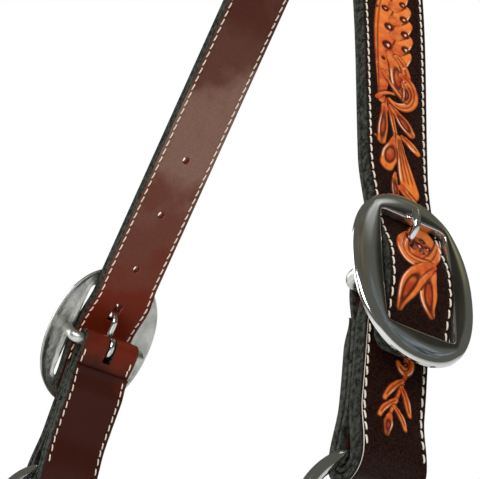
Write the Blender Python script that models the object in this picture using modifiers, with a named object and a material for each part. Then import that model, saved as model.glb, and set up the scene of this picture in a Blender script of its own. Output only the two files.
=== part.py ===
"""Western horse halter of doubled and stitched leather, with its cart buckles and rings.

Metres, +Z up. The nose points to -Y and the horse's left, its near side, is +X.
The origin is the middle of the crown's underside, where the crown rests on the poll.
"""

import math

import bmesh
import bpy
from mathutils import Matrix, Vector

# Leather
STRAP_WIDTH = 0.0254
NARROW_WIDTH = 0.019
OUTER_PLY = 0.0032
LINING_PLY = 0.0021
NARROW_PLY = 0.0034
FIT = 0.0003

# Rings
RING_BORE = 0.04445
RING_WIRE = 0.00476
RING_EYE_CLEARANCE = 0.00075

# Crown, from the poll down to the buckles
CROWN_BACK_LEAN = 15.6
POLL_FLAT = 0.022
POLL_RADIUS = 0.035
CROWN_SIDE_LEAN = 24.4
CROWN_LEG = 0.162
CROWN_TAIL = 0.0275
HOLE_PITCH = 0.0254
HOLE_BORE = 0.0045
SPARE_HOLES = 3

# Cart buckle
BUCKLE_WIDTH = 0.0475
BUCKLE_HEIGHT = 0.064
WINDOW_WIDTH = 0.027
WINDOW_HEIGHT = 0.0435
PLATE_EDGE = 0.0014
PLATE_CREST = 0.0030
BAR_WIRE = 0.005
POST_SPACING = 0.0315
TONGUE_WIRE = 0.0026
TONGUE_REACH = 0.0255
OUTER_HOLE_START = 0.009
LINING_HOLE_START = 0.0007
TONGUE_HOLE_END = 0.0178
TONGUE_HOLE_WIDTH = 0.0036
TONGUE_SLOT_WIDTH = 0.0036

# Tab between buckle and ring
TAB_LENGTH = 0.055
TAB_SIDE_LEAN = 14.0
TAB_OUTER_START = 0.0095
TAB_LINING_JOINT = 0.026

# Lower halter, as angles seen from the near side, from straight up towards the back
CHEEK_DIRECTION = 187.3
NOSE_DIRECTION = 270.0
CHIN_DIRECTION = 125.0
CHEEK_PITCH = 0.200
LOWER_HALF_SPREAD = 0.084
CHEEK_LAP = 0.036
NOSE_REACH = 0.112
NOSE_RADIUS = 0.060
NOSE_LAP = 0.036
CHIN_REACH = 0.098
CHIN_JOINT = 0.030
THROAT_RADIUS = 0.060
THROAT_LAP = 0.034
JAW_JOINT = 0.080
JAW_LOOP_HALF_GAP = 0.0042
JAW_LOOP_END_INSET = 0.0008

# How a folded strap closes beyond its eye, and where its end meets its own other end
TAPER = 0.016
FADE = 0.026
BUTT_GAP = 0.0006

# Shapes in the plate and the tongue, as shares of their own sizes
OUTLINE_POWER = 2.2
WINDOW_POWER = 10.0
PLATE_CREST_SHARES = (0.72, 0.25)
HOOK_WRAP = 250.0
TONGUE_RISE_SHARES = ((0.42, 0.0), (0.53, 0.30), (0.62, 0.72), (0.70, 0.95), (0.78, 1.02), (1.0, 1.0))

# How finely curved shapes are stepped
EYE_STEPS = 8
ARC_STEP = 12.0
MITRE_LIMIT = 36.0
TAPER_STEPS = 4
WIDE_SLICES = 4
NARROW_SLICES = 2
RING_STEPS = 32
WIRE_SIDES = 8
PLATE_STEPS = 40
HOOK_STEPS = 12
HOLE_SIDES = 12
TUBE_ROUNDING_STEPS = 2
SHARP_ANGLE = 40.0
CUT_OVERRUN = 0.002
CLOSE_POINTS = 0.00001

# Colours
LEATHER_TAN = (0.52, 0.17, 0.05, 1.0)
LEATHER_LINING = (0.16, 0.05, 0.035, 1.0)
LEATHER_DARK = (0.075, 0.03, 0.022, 1.0)
STEEL_BRIGHT = (0.62, 0.61, 0.59, 1.0)
TOOLED_ROUGHNESS = 0.45
SMOOTH_ROUGHNESS = 0.4
STEEL_ROUGHNESS = 0.18

ACROSS = Vector((1, 0, 0))

RING_RADIUS = (RING_BORE + RING_WIRE) / 2
WIRE_RADIUS = RING_WIRE / 2
BAR_RADIUS = BAR_WIRE / 2
TONGUE_RADIUS = TONGUE_WIRE / 2
PINCH = FIT / 2
RING_EYE = WIRE_RADIUS + RING_EYE_CLEARANCE
BAR_EYE = BAR_RADIUS + FIT
CROWN_BACK_DEPTH = PINCH + LINING_PLY
CROWN_FRONT_DEPTH = PINCH + OUTER_PLY
HOOK_RADIUS = BAR_RADIUS + FIT + TONGUE_RADIUS
BAR_TO_CROWN = max(HOOK_RADIUS + TONGUE_RADIUS, BAR_EYE + LINING_PLY) + FIT + CROWN_BACK_DEPTH
BAR_TO_PLATE = BAR_TO_CROWN + CROWN_FRONT_DEPTH + FIT


def side_direction(degrees):
    """A unit vector in the halter's middle plane, from straight up towards the back."""
    angle = math.radians(degrees)
    return Vector((0, math.sin(angle), math.cos(angle)))


class Plane:
    """The flat plane that a strap's route lies in: two directions in it and one across the strap."""

    def __init__(self, origin, first, second, width):
        self.origin = origin
        self.first = first
        self.second = second
        self.width = width

    def point(self, p, q, w=0.0):
        return self.origin + self.first * p + self.second * q + self.width * w

    def mirrors(self):
        return self.first.cross(self.second).dot(self.width) < 0


class Route:
    """A strap's centre line, from a start and a heading, as moves of (length, turn to the left in degrees)."""

    def __init__(self, start, heading, moves):
        self.start = start
        self.heading = heading
        self.moves = moves
        self.length = sum(length for length, _ in moves)

    def at(self, distance):
        """The point and the unit tangent at this distance along the route."""
        x, y = self.start
        angle = math.radians(self.heading)
        for length, turn in self.moves:
            part = min(distance, length)
            bend = math.radians(turn) * part / length
            chord = 2 * (part / bend) * math.sin(bend / 2) if bend else part
            x += chord * math.cos(angle + bend / 2)
            y += chord * math.sin(angle + bend / 2)
            angle += bend
            distance -= part
            if distance <= 0:
                break
        return (x, y), (math.cos(angle), math.sin(angle))

    def stations(self, start, end):
        """Distances from start to end, with one at each change of bend and enough in each arc."""
        low, high = min(start, end), max(start, end)
        marks = [low, high]
        done = 0.0
        for length, turn in self.moves:
            count = max(1, math.ceil(abs(turn) / ARC_STEP))
            marks += [done + length * i / count for i in range(count + 1)]
            done += length
        marks = sorted(mark for mark in marks if low <= mark <= high)
        kept = [mark for i, mark in enumerate(marks) if i == 0 or mark - marks[i - 1] > FIT]
        return kept if start < end else kept[::-1]


class Fold:
    """A strap folded round a bar or wire at one or both ends of its route, with its legs pinched together."""

    def __init__(self, route, eye_a, eye_b, hold=0.0):
        self.route = route
        self.eyes = (eye_a, eye_b)
        self.holds = (0.0, hold)

    def opening(self, distance):
        """Half the space between the two legs at this distance along the route."""
        gap = PINCH
        ends = (distance, self.route.length - distance)
        for eye, hold, away in zip(self.eyes, self.holds, ends):
            share = min(max(away - hold, 0) / TAPER, 1)
            gap += (eye - PINCH) * (1 + math.cos(math.pi * share)) / 2
        return gap

    def weights(self, distance):
        """How much the leg follows the wire at either end."""
        ends = (distance, self.route.length - distance)
        return [(1 + math.cos(math.pi * away / FADE)) / 2 if away < FADE else 0.0 for away in ends]

    def leg(self, sign, start, end):
        """One leg's inner face: to the left of the route for sign +1, to the right for -1."""
        marks = set(self.route.stations(start, end))
        low, high = min(start, end), max(start, end)
        for i in range(TAPER_STEPS + 1):
            ends = [hold + TAPER * i / TAPER_STEPS for hold in self.holds]
            marks |= {m for m in (ends[0], self.route.length - ends[1]) if low <= m <= high}
        marks = sorted(marks, reverse=start > end)
        kept = [m for i, m in enumerate(marks) if i == 0 or abs(m - marks[i - 1]) > FIT]
        points = []
        for mark in kept:
            (x, y), (tx, ty) = self.route.at(mark)
            gap = sign * self.opening(mark)
            points.append((x - ty * gap, y + tx * gap, *self.weights(mark)))
        return points

    def eye(self, end):
        """The half turn round the wire at end 0 or 1, between the two legs."""
        (x, y), (tx, ty) = self.route.at(self.route.length * end)
        outward = math.atan2(ty, tx) if end else math.atan2(-ty, -tx)
        points = []
        for i in range(1, EYE_STEPS):
            angle = outward + math.pi / 2 - math.pi * i / EYE_STEPS
            radius = self.eyes[end]
            points.append((x + radius * math.cos(angle), y + radius * math.sin(angle), 1 - end, end))
        return points


def drop(width_place):
    """How far a ring's wire falls away from its top, this far to the side."""
    return RING_RADIUS - math.sqrt(RING_RADIUS**2 - width_place**2)


def offset_points(points, offset):
    """The path moved to its left by offset, with its corners mitred."""
    moved = []
    for i, (x, y, *weights) in enumerate(points):
        before = points[max(i - 1, 0)]
        after = points[min(i + 1, len(points) - 1)]
        into = Vector((x - before[0], y - before[1])) if i else None
        out = Vector((after[0] - x, after[1] - y)) if i < len(points) - 1 else into
        into = (into or out).normalized()
        out = out.normalized()
        normal = Vector((-into.y - out.y, into.x + out.x)).normalized()
        reach = offset / max(normal.dot(Vector((-into.y, into.x))), math.cos(math.radians(MITRE_LIMIT)))
        moved.append((x + normal.x * reach, y + normal.y * reach, *weights))
    return moved


def strap_ply(name, plane, points, offset, ply, width, slices=1, pulls=(None, None)):
    """A ply of leather: a grid laid along the path and thickened with Solidify, away from the route's right."""
    path = offset_points(points, offset)
    bm = bmesh.new()
    bmesh.ops.create_grid(bm, x_segments=len(path) - 1, y_segments=slices, size=1)
    for vert in bm.verts:
        place = path[round((vert.co.x + 1) / 2 * (len(path) - 1))]
        w = width * vert.co.y / 2
        spot = plane.point(place[0], place[1], w)
        for weight, pull in zip(place[2:], pulls):
            if pull is not None:
                spot += pull * (drop(w) * weight)
        vert.co = spot
    if not plane.mirrors():
        bmesh.ops.reverse_faces(bm, faces=bm.faces)
    obj = new_object(name, bm)
    solid = obj.modifiers.new("Ply", "SOLIDIFY")
    solid.thickness = ply
    solid.offset = 1
    solid.use_even_offset = True
    return obj


def new_object(name, bm):
    mesh = bpy.data.meshes.new(name)
    bm.to_mesh(mesh)
    bm.free()
    obj = bpy.data.objects.new(name, mesh)
    halter.objects.link(obj)
    return obj


def finish_with(obj, material, pivot=None):
    """Gives the object its material, and puts its origin on its joint's axis."""
    obj.data.materials.clear()
    obj.data.materials.append(material)
    if pivot is not None:
        obj.data.transform(Matrix.Translation(-pivot))
        obj.location = pivot
    return obj


def principled(name, colour, roughness, metallic=0.0):
    material = bpy.data.materials.new(name)
    material.use_nodes = True
    shader = material.node_tree.nodes["Principled BSDF"]
    shader.inputs["Base Color"].default_value = colour
    shader.inputs["Roughness"].default_value = roughness
    shader.inputs["Metallic"].default_value = metallic
    return material


def as_mesh(curve_object, name):
    """The curve's tube as a mesh object with its caps welded, so that it takes a Boolean."""
    graph = bpy.context.evaluated_depsgraph_get()
    mesh = bpy.data.meshes.new_from_object(curve_object.evaluated_get(graph))
    bm = bmesh.new()
    bm.from_mesh(mesh)
    bmesh.ops.remove_doubles(bm, verts=bm.verts, dist=CLOSE_POINTS)
    obj = new_object(name, bm)
    obj.matrix_world = curve_object.matrix_world
    bpy.data.objects.remove(curve_object)
    return obj


def shade_round(mesh):
    """Smooth shading, but for the edges sharper than SHARP_ANGLE."""
    mesh.shade_smooth()
    mesh.set_sharp_from_angle(angle=math.radians(SHARP_ANGLE))


def tube(name, points, radius):
    """A round bar along these points."""
    curve = bpy.data.curves.new(name, "CURVE")
    curve.dimensions = "3D"
    curve.bevel_depth = radius
    curve.bevel_resolution = TUBE_ROUNDING_STEPS
    curve.use_fill_caps = True
    spline = curve.splines.new("POLY")
    spline.points.add(len(points) - 1)
    for place, point in zip(spline.points, points):
        place.co = (*point, 1)
    obj = bpy.data.objects.new("guide_" + name, curve)
    halter.objects.link(obj)
    bpy.context.view_layer.update()
    bar = as_mesh(obj, name)
    shade_round(bar.data)
    return bar


def put_away(obj):
    """Moves a cutter or a piece that is joined to another out of the halter's own objects."""
    obj.hide_render = True
    obj.display_type = "WIRE"
    halter.objects.unlink(obj)
    cutters.objects.link(obj)


def boolean(obj, other, operation):
    change = obj.modifiers.new(operation.title(), "BOOLEAN")
    change.operation = operation
    change.object = other
    change.solver = "EXACT"


def ring(name, centre, axis_rotation):
    bpy.ops.mesh.primitive_torus_add(
        major_radius=RING_RADIUS,
        minor_radius=WIRE_RADIUS,
        major_segments=RING_STEPS,
        minor_segments=WIRE_SIDES,
        location=centre,
        rotation=axis_rotation,
    )
    obj = bpy.context.object
    obj.name = name
    obj.data.name = name
    for collection in list(obj.users_collection):
        collection.objects.unlink(obj)
    halter.objects.link(obj)
    obj.data.shade_smooth()
    return finish_with(obj, steel)


# Where everything lies, worked out from the sizes above
UP_CROWN = side_direction(CROWN_BACK_LEAN)
BACK_CROWN = side_direction(CROWN_BACK_LEAN + 90)
SIN_LEAN = math.sin(math.radians(CROWN_SIDE_LEAN))
COS_LEAN = math.cos(math.radians(CROWN_SIDE_LEAN))
SIN_TAB = math.sin(math.radians(TAB_SIDE_LEAN))
COS_TAB = math.cos(math.radians(TAB_SIDE_LEAN))

LEG_SPREAD = POLL_FLAT / 2 + POLL_RADIUS * COS_LEAN + CROWN_LEG * SIN_LEAN
LEG_DEPTH = CROWN_BACK_DEPTH - POLL_RADIUS * (1 - SIN_LEAN) - CROWN_LEG * COS_LEAN
BAR_SPREAD = LEG_SPREAD - BAR_TO_CROWN * COS_LEAN
BAR_HEIGHT = LEG_DEPTH - BAR_TO_CROWN * SIN_LEAN
UPPER_SPREAD = BAR_SPREAD + TAB_LENGTH * SIN_TAB
UPPER_WIRE_HEIGHT = BAR_HEIGHT - TAB_LENGTH * COS_TAB

UPPER_AXIS = UP_CROWN * (UPPER_WIRE_HEIGHT - RING_RADIUS)
LOWER_AXIS = UPPER_AXIS + side_direction(CHEEK_DIRECTION) * CHEEK_PITCH
CHIN_RING_CENTRE = LOWER_AXIS + side_direction(CHIN_DIRECTION) * CHIN_REACH
JAW_AXIS = CHIN_RING_CENTRE + side_direction(CHIN_DIRECTION - 90) * RING_RADIUS
THROAT_LINK = JAW_AXIS - LOWER_AXIS


def buckle_matrix(side):
    """The buckle's own frame: X across the strap, Y up the crown's leg, Z out, with its origin on the bar."""
    along = UP_CROWN * COS_LEAN - ACROSS * (side * SIN_LEAN)
    out = UP_CROWN * SIN_LEAN + ACROSS * (side * COS_LEAN)
    bar = UP_CROWN * BAR_HEIGHT + ACROSS * (side * BAR_SPREAD)
    matrix = Matrix((BACK_CROWN * side, along, out)).transposed().to_4x4()
    matrix.translation = bar
    return matrix


def make_crown():
    """The crown's outer ply and lining, from the off buckle over the poll to the near buckle."""
    leg = CROWN_LEG + CROWN_TAIL
    bend = 90 - CROWN_SIDE_LEAN
    arc = POLL_RADIUS * math.radians(bend)
    start = (
        -LEG_SPREAD - CROWN_TAIL * SIN_LEAN,
        LEG_DEPTH - CROWN_TAIL * COS_LEAN,
    )
    route = Route(start, bend, [(leg, 0), (arc, -bend), (POLL_FLAT, 0), (arc, -bend), (leg, 0)])
    fold = Fold(route, PINCH, PINCH)
    plane = Plane(Vector(), ACROSS, UP_CROWN, BACK_CROWN)
    outer = strap_ply("crown_outer", plane, fold.leg(1, 0, route.length), 0, OUTER_PLY, STRAP_WIDTH)
    under = fold.leg(-1, 0, route.length)
    lining = strap_ply("crown_lining", plane, under, -LINING_PLY, LINING_PLY, STRAP_WIDTH)
    for side in (-1, 1):
        boolean(outer, hole_cutter("outer", side, OUTER_HOLE_START), "DIFFERENCE")
        boolean(lining, hole_cutter("lining", side, LINING_HOLE_START), "DIFFERENCE")
    finish_with(outer, tooled)
    finish_with(lining, lined)


def hole_cutter(ply, side, start):
    """The tongue's slot in one ply from start upwards and, on the off side, the spare holes above, in one cutter."""
    up = (start + TONGUE_HOLE_END) / 2
    hole_middle = (LINING_HOLE_START + TONGUE_HOLE_END) / 2
    bm = bmesh.new()
    depth = CROWN_BACK_DEPTH + CROWN_FRONT_DEPTH + 2 * CUT_OVERRUN
    middle = BAR_TO_CROWN + (CROWN_FRONT_DEPTH - CROWN_BACK_DEPTH) / 2
    spare = SPARE_HOLES if side < 0 else 0
    for i in range(1, spare + 1):
        place = Matrix.Translation((0, hole_middle + HOLE_PITCH * i, middle))
        bmesh.ops.create_cone(
            bm,
            cap_ends=True,
            segments=HOLE_SIDES,
            radius1=HOLE_BORE / 2,
            radius2=HOLE_BORE / 2,
            depth=depth,
            matrix=place,
        )
    place = Matrix.Translation((0, up, middle))
    shape = Matrix.Diagonal((TONGUE_HOLE_WIDTH, TONGUE_HOLE_END - start, depth, 1))
    bmesh.ops.create_cube(bm, size=1, matrix=place @ shape)
    bm.transform(buckle_matrix(side))
    obj = new_object(ply + ("_holes_near" if side > 0 else "_holes_off"), bm)
    put_away(obj)
    return obj


def rounded(angle, half_width, half_height, power):
    """The distance from the middle to a rounded rectangle's edge, in this direction."""
    across = abs(math.cos(angle) / half_width) ** power
    up = abs(math.sin(angle) / half_height) ** power
    return (across + up) ** (-1 / power)


def make_buckle_frame(side, suffix):
    """The domed plate round its window, and the bar on its two posts behind it, cast in one piece."""
    crest = [(share, PLATE_CREST) for share in PLATE_CREST_SHARES]
    profile = [(1, 0), (1, PLATE_EDGE), *crest, (0, PLATE_EDGE), (0, 0)]
    bm = bmesh.new()
    loops = []
    for share, height in profile:
        verts = []
        for i in range(PLATE_STEPS):
            angle = 2 * math.pi * i / PLATE_STEPS
            outer = rounded(angle, BUCKLE_WIDTH / 2, BUCKLE_HEIGHT / 2, OUTLINE_POWER)
            inner = rounded(angle, WINDOW_WIDTH / 2, WINDOW_HEIGHT / 2, WINDOW_POWER)
            reach = inner + (outer - inner) * share
            spot = (reach * math.cos(angle), reach * math.sin(angle), BAR_TO_PLATE + height)
            verts.append(bm.verts.new(spot))
        loops.append(verts)
    for i in range(len(loops)):
        first, second = loops[i - 1], loops[i]
        for j in range(PLATE_STEPS):
            bm.faces.new((first[j - 1], first[j], second[j], second[j - 1]))
    bmesh.ops.recalc_face_normals(bm, faces=bm.faces)
    frame = new_object("buckle_frame_" + suffix, bm)
    shade_round(frame.data)
    half = POST_SPACING / 2
    top = BAR_TO_PLATE + PLATE_EDGE
    bar = tube("bar_" + suffix, [(-half, 0, top), (-half, 0, 0), (half, 0, 0), (half, 0, top)], BAR_RADIUS)
    for obj in (frame, bar):
        obj.data.transform(buckle_matrix(side))
    boolean(frame, bar, "UNION")
    put_away(bar)
    finish_with(frame, steel)


def make_tongue(side, suffix):
    """A wire hooked round the bar, through the strap's slot and over the top of the plate."""
    points = []
    for i in range(HOOK_STEPS + 1):
        angle = math.radians(90 + HOOK_WRAP * (1 - i / HOOK_STEPS))
        points.append((0, HOOK_RADIUS * math.cos(angle), HOOK_RADIUS * math.sin(angle)))
    rise = BAR_TO_PLATE + PLATE_CREST + FIT + TONGUE_RADIUS - HOOK_RADIUS
    for up_share, out_share in TONGUE_RISE_SHARES:
        points.append((0, TONGUE_REACH * up_share, HOOK_RADIUS + rise * out_share))
    tongue = tube("buckle_tongue_" + suffix, points, TONGUE_RADIUS)
    matrix = buckle_matrix(side)
    tongue.data.transform(matrix)
    finish_with(tongue, steel, matrix.translation)


def make_tab(side, suffix):
    """The doubled tab between buckle and ring: the lining loops both, the outer ply loops the ring."""
    route = Route((BAR_SPREAD, BAR_HEIGHT), -90 + TAB_SIDE_LEAN, [(TAB_LENGTH, 0)])
    fold = Fold(route, BAR_EYE, RING_EYE)
    plane = Plane(Vector(), ACROSS * side, UP_CROWN, BACK_CROWN)
    pulls = (None, -UP_CROWN)
    inner = fold.leg(-1, TAB_LINING_JOINT, 0) + fold.eye(0) + fold.leg(1, 0, TAB_LENGTH)
    inner += fold.eye(1) + fold.leg(-1, TAB_LENGTH, TAB_LINING_JOINT + BUTT_GAP)
    lining = strap_ply("tab_lining_" + suffix, plane, inner, 0, LINING_PLY, STRAP_WIDTH, WIDE_SLICES, pulls)
    cover = fold.leg(1, TAB_OUTER_START, TAB_LENGTH) + fold.eye(1)
    cover += fold.leg(-1, TAB_LENGTH, TAB_OUTER_START)
    start = LINING_PLY + FIT
    outer = strap_ply("tab_outer_" + suffix, plane, cover, start, OUTER_PLY, STRAP_WIDTH, WIDE_SLICES, pulls)
    cut_tongue_slot(lining, side, suffix)
    finish_with(lining, lined)
    finish_with(outer, tooled)


def cut_tongue_slot(lining, side, suffix):
    """Opens the lining where it folds over the bar, so that the tongue's hook has room."""
    reach = HOOK_RADIUS + TONGUE_RADIUS + 2 * FIT
    bm = bmesh.new()
    bmesh.ops.create_cube(bm, size=1, matrix=Matrix.Diagonal((TONGUE_SLOT_WIDTH, 2 * reach, 2 * reach, 1)))
    bm.transform(buckle_matrix(side))
    slot = new_object("tongue_slot_" + suffix, bm)
    boolean(lining, slot, "DIFFERENCE")
    put_away(slot)


def make_cheek(side, suffix):
    """A cheek strap from ring to ring: the outer ply laps back at both ends, the lining lies between."""
    up = side_direction(CHEEK_DIRECTION - 180)
    top = (UPPER_SPREAD, -RING_RADIUS)
    run = CHEEK_PITCH - 2 * RING_RADIUS
    narrowing = LOWER_HALF_SPREAD - UPPER_SPREAD
    length = math.hypot(run, narrowing)
    heading = math.degrees(math.atan2(-run, narrowing))
    fold = Fold(Route(top, heading, [(length, 0)]), RING_EYE, RING_EYE)
    plane = Plane(UPPER_AXIS, ACROSS * side, up, side_direction(CHEEK_DIRECTION - 90))
    points = fold.leg(-1, CHEEK_LAP, 0) + fold.eye(0) + fold.leg(1, 0, length)
    points += fold.eye(1) + fold.leg(-1, length, length - CHEEK_LAP)
    pulls = (up, -up)
    outer = strap_ply("cheek_outer_" + suffix, plane, points, 0, OUTER_PLY, STRAP_WIDTH, WIDE_SLICES, pulls)
    between = fold.leg(-1, CHEEK_LAP + BUTT_GAP, length - CHEEK_LAP - BUTT_GAP)
    lining = strap_ply("cheek_lining_" + suffix, plane, between, -LINING_PLY, LINING_PLY, STRAP_WIDTH)
    finish_with(outer, tooled, UPPER_AXIS)
    finish_with(lining, lined, UPPER_AXIS)


def bow_route(spread, reach, radius):
    """A bow from the off ring, out to reach and back to the near ring."""
    side = reach - RING_RADIUS - radius
    quarter = radius * math.pi / 2
    middle = 2 * (spread - radius)
    moves = [(side, 0), (quarter, -90), (middle, 0), (quarter, -90), (side, 0)]
    return Route((-spread, RING_RADIUS), 90, moves)


def make_noseband():
    """The noseband from lower ring to lower ring, over the nose."""
    ahead = side_direction(NOSE_DIRECTION)
    route = bow_route(LOWER_HALF_SPREAD, NOSE_REACH, NOSE_RADIUS)
    fold = Fold(route, RING_EYE, RING_EYE)
    plane = Plane(LOWER_AXIS, ACROSS, ahead, side_direction(NOSE_DIRECTION + 90))
    end = route.length
    points = fold.leg(-1, NOSE_LAP, 0) + fold.eye(0) + fold.leg(1, 0, end)
    points += fold.eye(1) + fold.leg(-1, end, end - NOSE_LAP)
    pulls = (-ahead, -ahead)
    outer = strap_ply("noseband_outer", plane, points, 0, OUTER_PLY, STRAP_WIDTH, WIDE_SLICES, pulls)
    between = fold.leg(-1, NOSE_LAP + BUTT_GAP, end - NOSE_LAP - BUTT_GAP)
    lining = strap_ply("noseband_lining", plane, between, -LINING_PLY, LINING_PLY, STRAP_WIDTH)
    finish_with(outer, tooled, LOWER_AXIS)
    finish_with(lining, lined, LOWER_AXIS)


def make_throat():
    """The throat strap from upper ring to upper ring, under the throat."""
    down = THROAT_LINK.normalized()
    reach = THROAT_LINK.length - PINCH - NARROW_PLY / 2
    route = bow_route(UPPER_SPREAD, reach, THROAT_RADIUS)
    fold = Fold(route, RING_EYE, RING_EYE)
    plane = Plane(UPPER_AXIS, ACROSS, down, down.cross(ACROSS))
    end = route.length
    points = fold.leg(-1, THROAT_LAP, 0) + fold.eye(0) + fold.leg(1, 0, end)
    points += fold.eye(1) + fold.leg(-1, end, end - THROAT_LAP)
    pulls = (-down, -down)
    strap = strap_ply("throat_strap", plane, points, 0, NARROW_PLY, NARROW_WIDTH, NARROW_SLICES, pulls)
    finish_with(strap, dark, UPPER_AXIS)


def make_chin_strap(side, suffix):
    """A doubled chin strap between a lower ring and the chin ring."""
    back = side_direction(CHIN_DIRECTION)
    start = (RING_RADIUS, CHIN_REACH)
    end = (LOWER_HALF_SPREAD, RING_RADIUS)
    run = (end[0] - start[0], end[1] - start[1])
    length = math.hypot(*run)
    heading = math.degrees(math.atan2(run[1], run[0]))
    fold = Fold(Route(start, heading, [(length, 0)]), RING_EYE, RING_EYE)
    plane = Plane(LOWER_AXIS, ACROSS * side, back, side_direction(CHIN_DIRECTION - 90))
    points = fold.leg(-1, CHIN_JOINT, 0) + fold.eye(0) + fold.leg(1, 0, length)
    points += fold.eye(1) + fold.leg(-1, length, CHIN_JOINT + BUTT_GAP)
    pulls = (-ACROSS * side, -back)
    strap = strap_ply("chin_strap_" + suffix, plane, points, 0, NARROW_PLY, NARROW_WIDTH, NARROW_SLICES, pulls)
    finish_with(strap, dark, LOWER_AXIS)


def make_jaw_strap():
    """The doubled strap from the chin ring up to the throat strap, which passes through its upper loop."""
    up = side_direction(CHEEK_DIRECTION - 180)
    back = side_direction(CHEEK_DIRECTION - 90)
    top = CHEEK_PITCH + NARROW_WIDTH / 2 - JAW_LOOP_END_INSET
    fold = Fold(Route((0, 0), 90, [(top, 0)]), RING_EYE, JAW_LOOP_HALF_GAP, NARROW_WIDTH)
    plane = Plane(JAW_AXIS, back, up, ACROSS)
    points = fold.leg(-1, JAW_JOINT, 0) + fold.eye(0) + fold.leg(1, 0, top)
    points += fold.eye(1) + fold.leg(-1, top, JAW_JOINT + BUTT_GAP)
    pulls = (-side_direction(CHIN_DIRECTION - 90), None)
    strap = strap_ply("jaw_strap", plane, points, 0, NARROW_PLY, NARROW_WIDTH, NARROW_SLICES, pulls)
    finish_with(strap, dark, JAW_AXIS)


for old in list(bpy.data.objects):
    bpy.data.objects.remove(old)
halter = bpy.data.collections.new("western_halter")
cutters = bpy.data.collections.new("cutters")
for collection in (halter, cutters):
    bpy.context.scene.collection.children.link(collection)

tooled = principled("tooled_leather", LEATHER_TAN, TOOLED_ROUGHNESS)
lined = principled("lining_leather", LEATHER_LINING, SMOOTH_ROUGHNESS)
dark = principled("dark_leather", LEATHER_DARK, SMOOTH_ROUGHNESS)
steel = principled("polished_steel", STEEL_BRIGHT, STEEL_ROUGHNESS, metallic=1.0)

make_crown()
for side, suffix in ((1, "near"), (-1, "off")):
    make_buckle_frame(side, suffix)
    make_tongue(side, suffix)
    make_tab(side, suffix)
    make_cheek(side, suffix)
    make_chin_strap(side, suffix)
    upright = (0, math.pi / 2, 0)
    ring("upper_ring_" + suffix, UPPER_AXIS + ACROSS * (side * UPPER_SPREAD), upright)
    ring("lower_ring_" + suffix, LOWER_AXIS + ACROSS * (side * LOWER_HALF_SPREAD), upright)
ring("chin_ring", CHIN_RING_CENTRE, (-math.radians(CHIN_DIRECTION), 0, 0))
make_noseband()
make_throat()
make_jaw_strap()
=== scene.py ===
"""Western horse halter: carved and stitched leather straps, polished cart buckles and rings.

Metres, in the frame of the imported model. Each strap is laid along the route that its solid follows, as a
ply with rounded, burnished edges, and the carving is pressed into its outer face.
"""

import math

import bpy
import numpy as np
from mathutils import Matrix, Vector


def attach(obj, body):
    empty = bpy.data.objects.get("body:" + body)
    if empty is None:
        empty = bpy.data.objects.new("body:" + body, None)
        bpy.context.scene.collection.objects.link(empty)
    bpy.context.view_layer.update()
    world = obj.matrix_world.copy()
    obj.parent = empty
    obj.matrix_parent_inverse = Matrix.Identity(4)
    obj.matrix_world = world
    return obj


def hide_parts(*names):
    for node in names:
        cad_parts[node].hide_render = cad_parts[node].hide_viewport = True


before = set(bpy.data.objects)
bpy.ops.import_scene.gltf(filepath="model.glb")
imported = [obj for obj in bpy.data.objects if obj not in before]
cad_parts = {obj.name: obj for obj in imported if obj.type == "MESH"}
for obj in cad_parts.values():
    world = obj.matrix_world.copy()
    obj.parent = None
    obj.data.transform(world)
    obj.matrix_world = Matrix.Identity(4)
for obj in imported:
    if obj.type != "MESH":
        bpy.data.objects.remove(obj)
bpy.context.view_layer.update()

MM = 0.001

# Leather
STRAP_WIDTH = 0.0254
NARROW_WIDTH = 0.019
OUTER_PLY = 0.0032
LINING_PLY = 0.0021
NARROW_PLY = 0.0034
FIT = 0.0003
TAPER = 0.016
FADE = 0.026
BUTT_GAP = 0.0006
BEVELLED_EDGE = 0.0008
CLOSE_EDGE = 0.00025
END_ROUNDING = 0.0011
BILLET_POINT = 0.006
HIDDEN_EDGE = 0.004
FRONT_EDGES = (BEVELLED_EDGE, CLOSE_EDGE)
BACK_EDGES = (CLOSE_EDGE, BEVELLED_EDGE)
END_THICKNESS = 0.35
BILLET_TIP = 0.6
# The values and width of the painted highlight line along a lit ply's front edge.
PAINTED_HIGHLIGHT_EDGE = (1.0, 1.0, 3.0, 0.0)
PAINTED_HIGHLIGHT_WIDTH = 0.0005
SKIVE = 0.012
SKIVED_END = 0.08
SKIVED_TONE = -4.0

# Rings
RING_BORE = 0.04445
RING_WIRE = 0.00476
RING_EYE_CLEARANCE = 0.00075

# Crown
CROWN_BACK_LEAN = 15.6
POLL_FLAT = 0.022
POLL_RADIUS = 0.035
CROWN_SIDE_LEAN = 24.4
CROWN_LEG = 0.162
BUCKLE_BULGE = 0.0045
BULGE_REACH = 0.0215
BULGE_TOP = 0.15
NEAR_TURN = 11.5
NEAR_TURN_SPAN = (0.01, 0.165, 0.165, 0.23)
WINDOW_SHIFT = 0.0007
WINDOW_SPREAD = 0.028
WINDOW_SPAN = (0.018, 0.03)
NEAR_SHIFT = 0.0022
NEAR_SHIFT_SPAN = (0.02, 0.048, 0.03, 0.12)
NEAR_DIP = 1.7
NEAR_DIP_SPAN = (0.02, 0.028, 0.03, 0.05)
CROWN_TAIL = 0.0275
HOLE_PITCH = 0.0254
HOLE_BORE = 0.0045
SPARE_HOLES = 3

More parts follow.
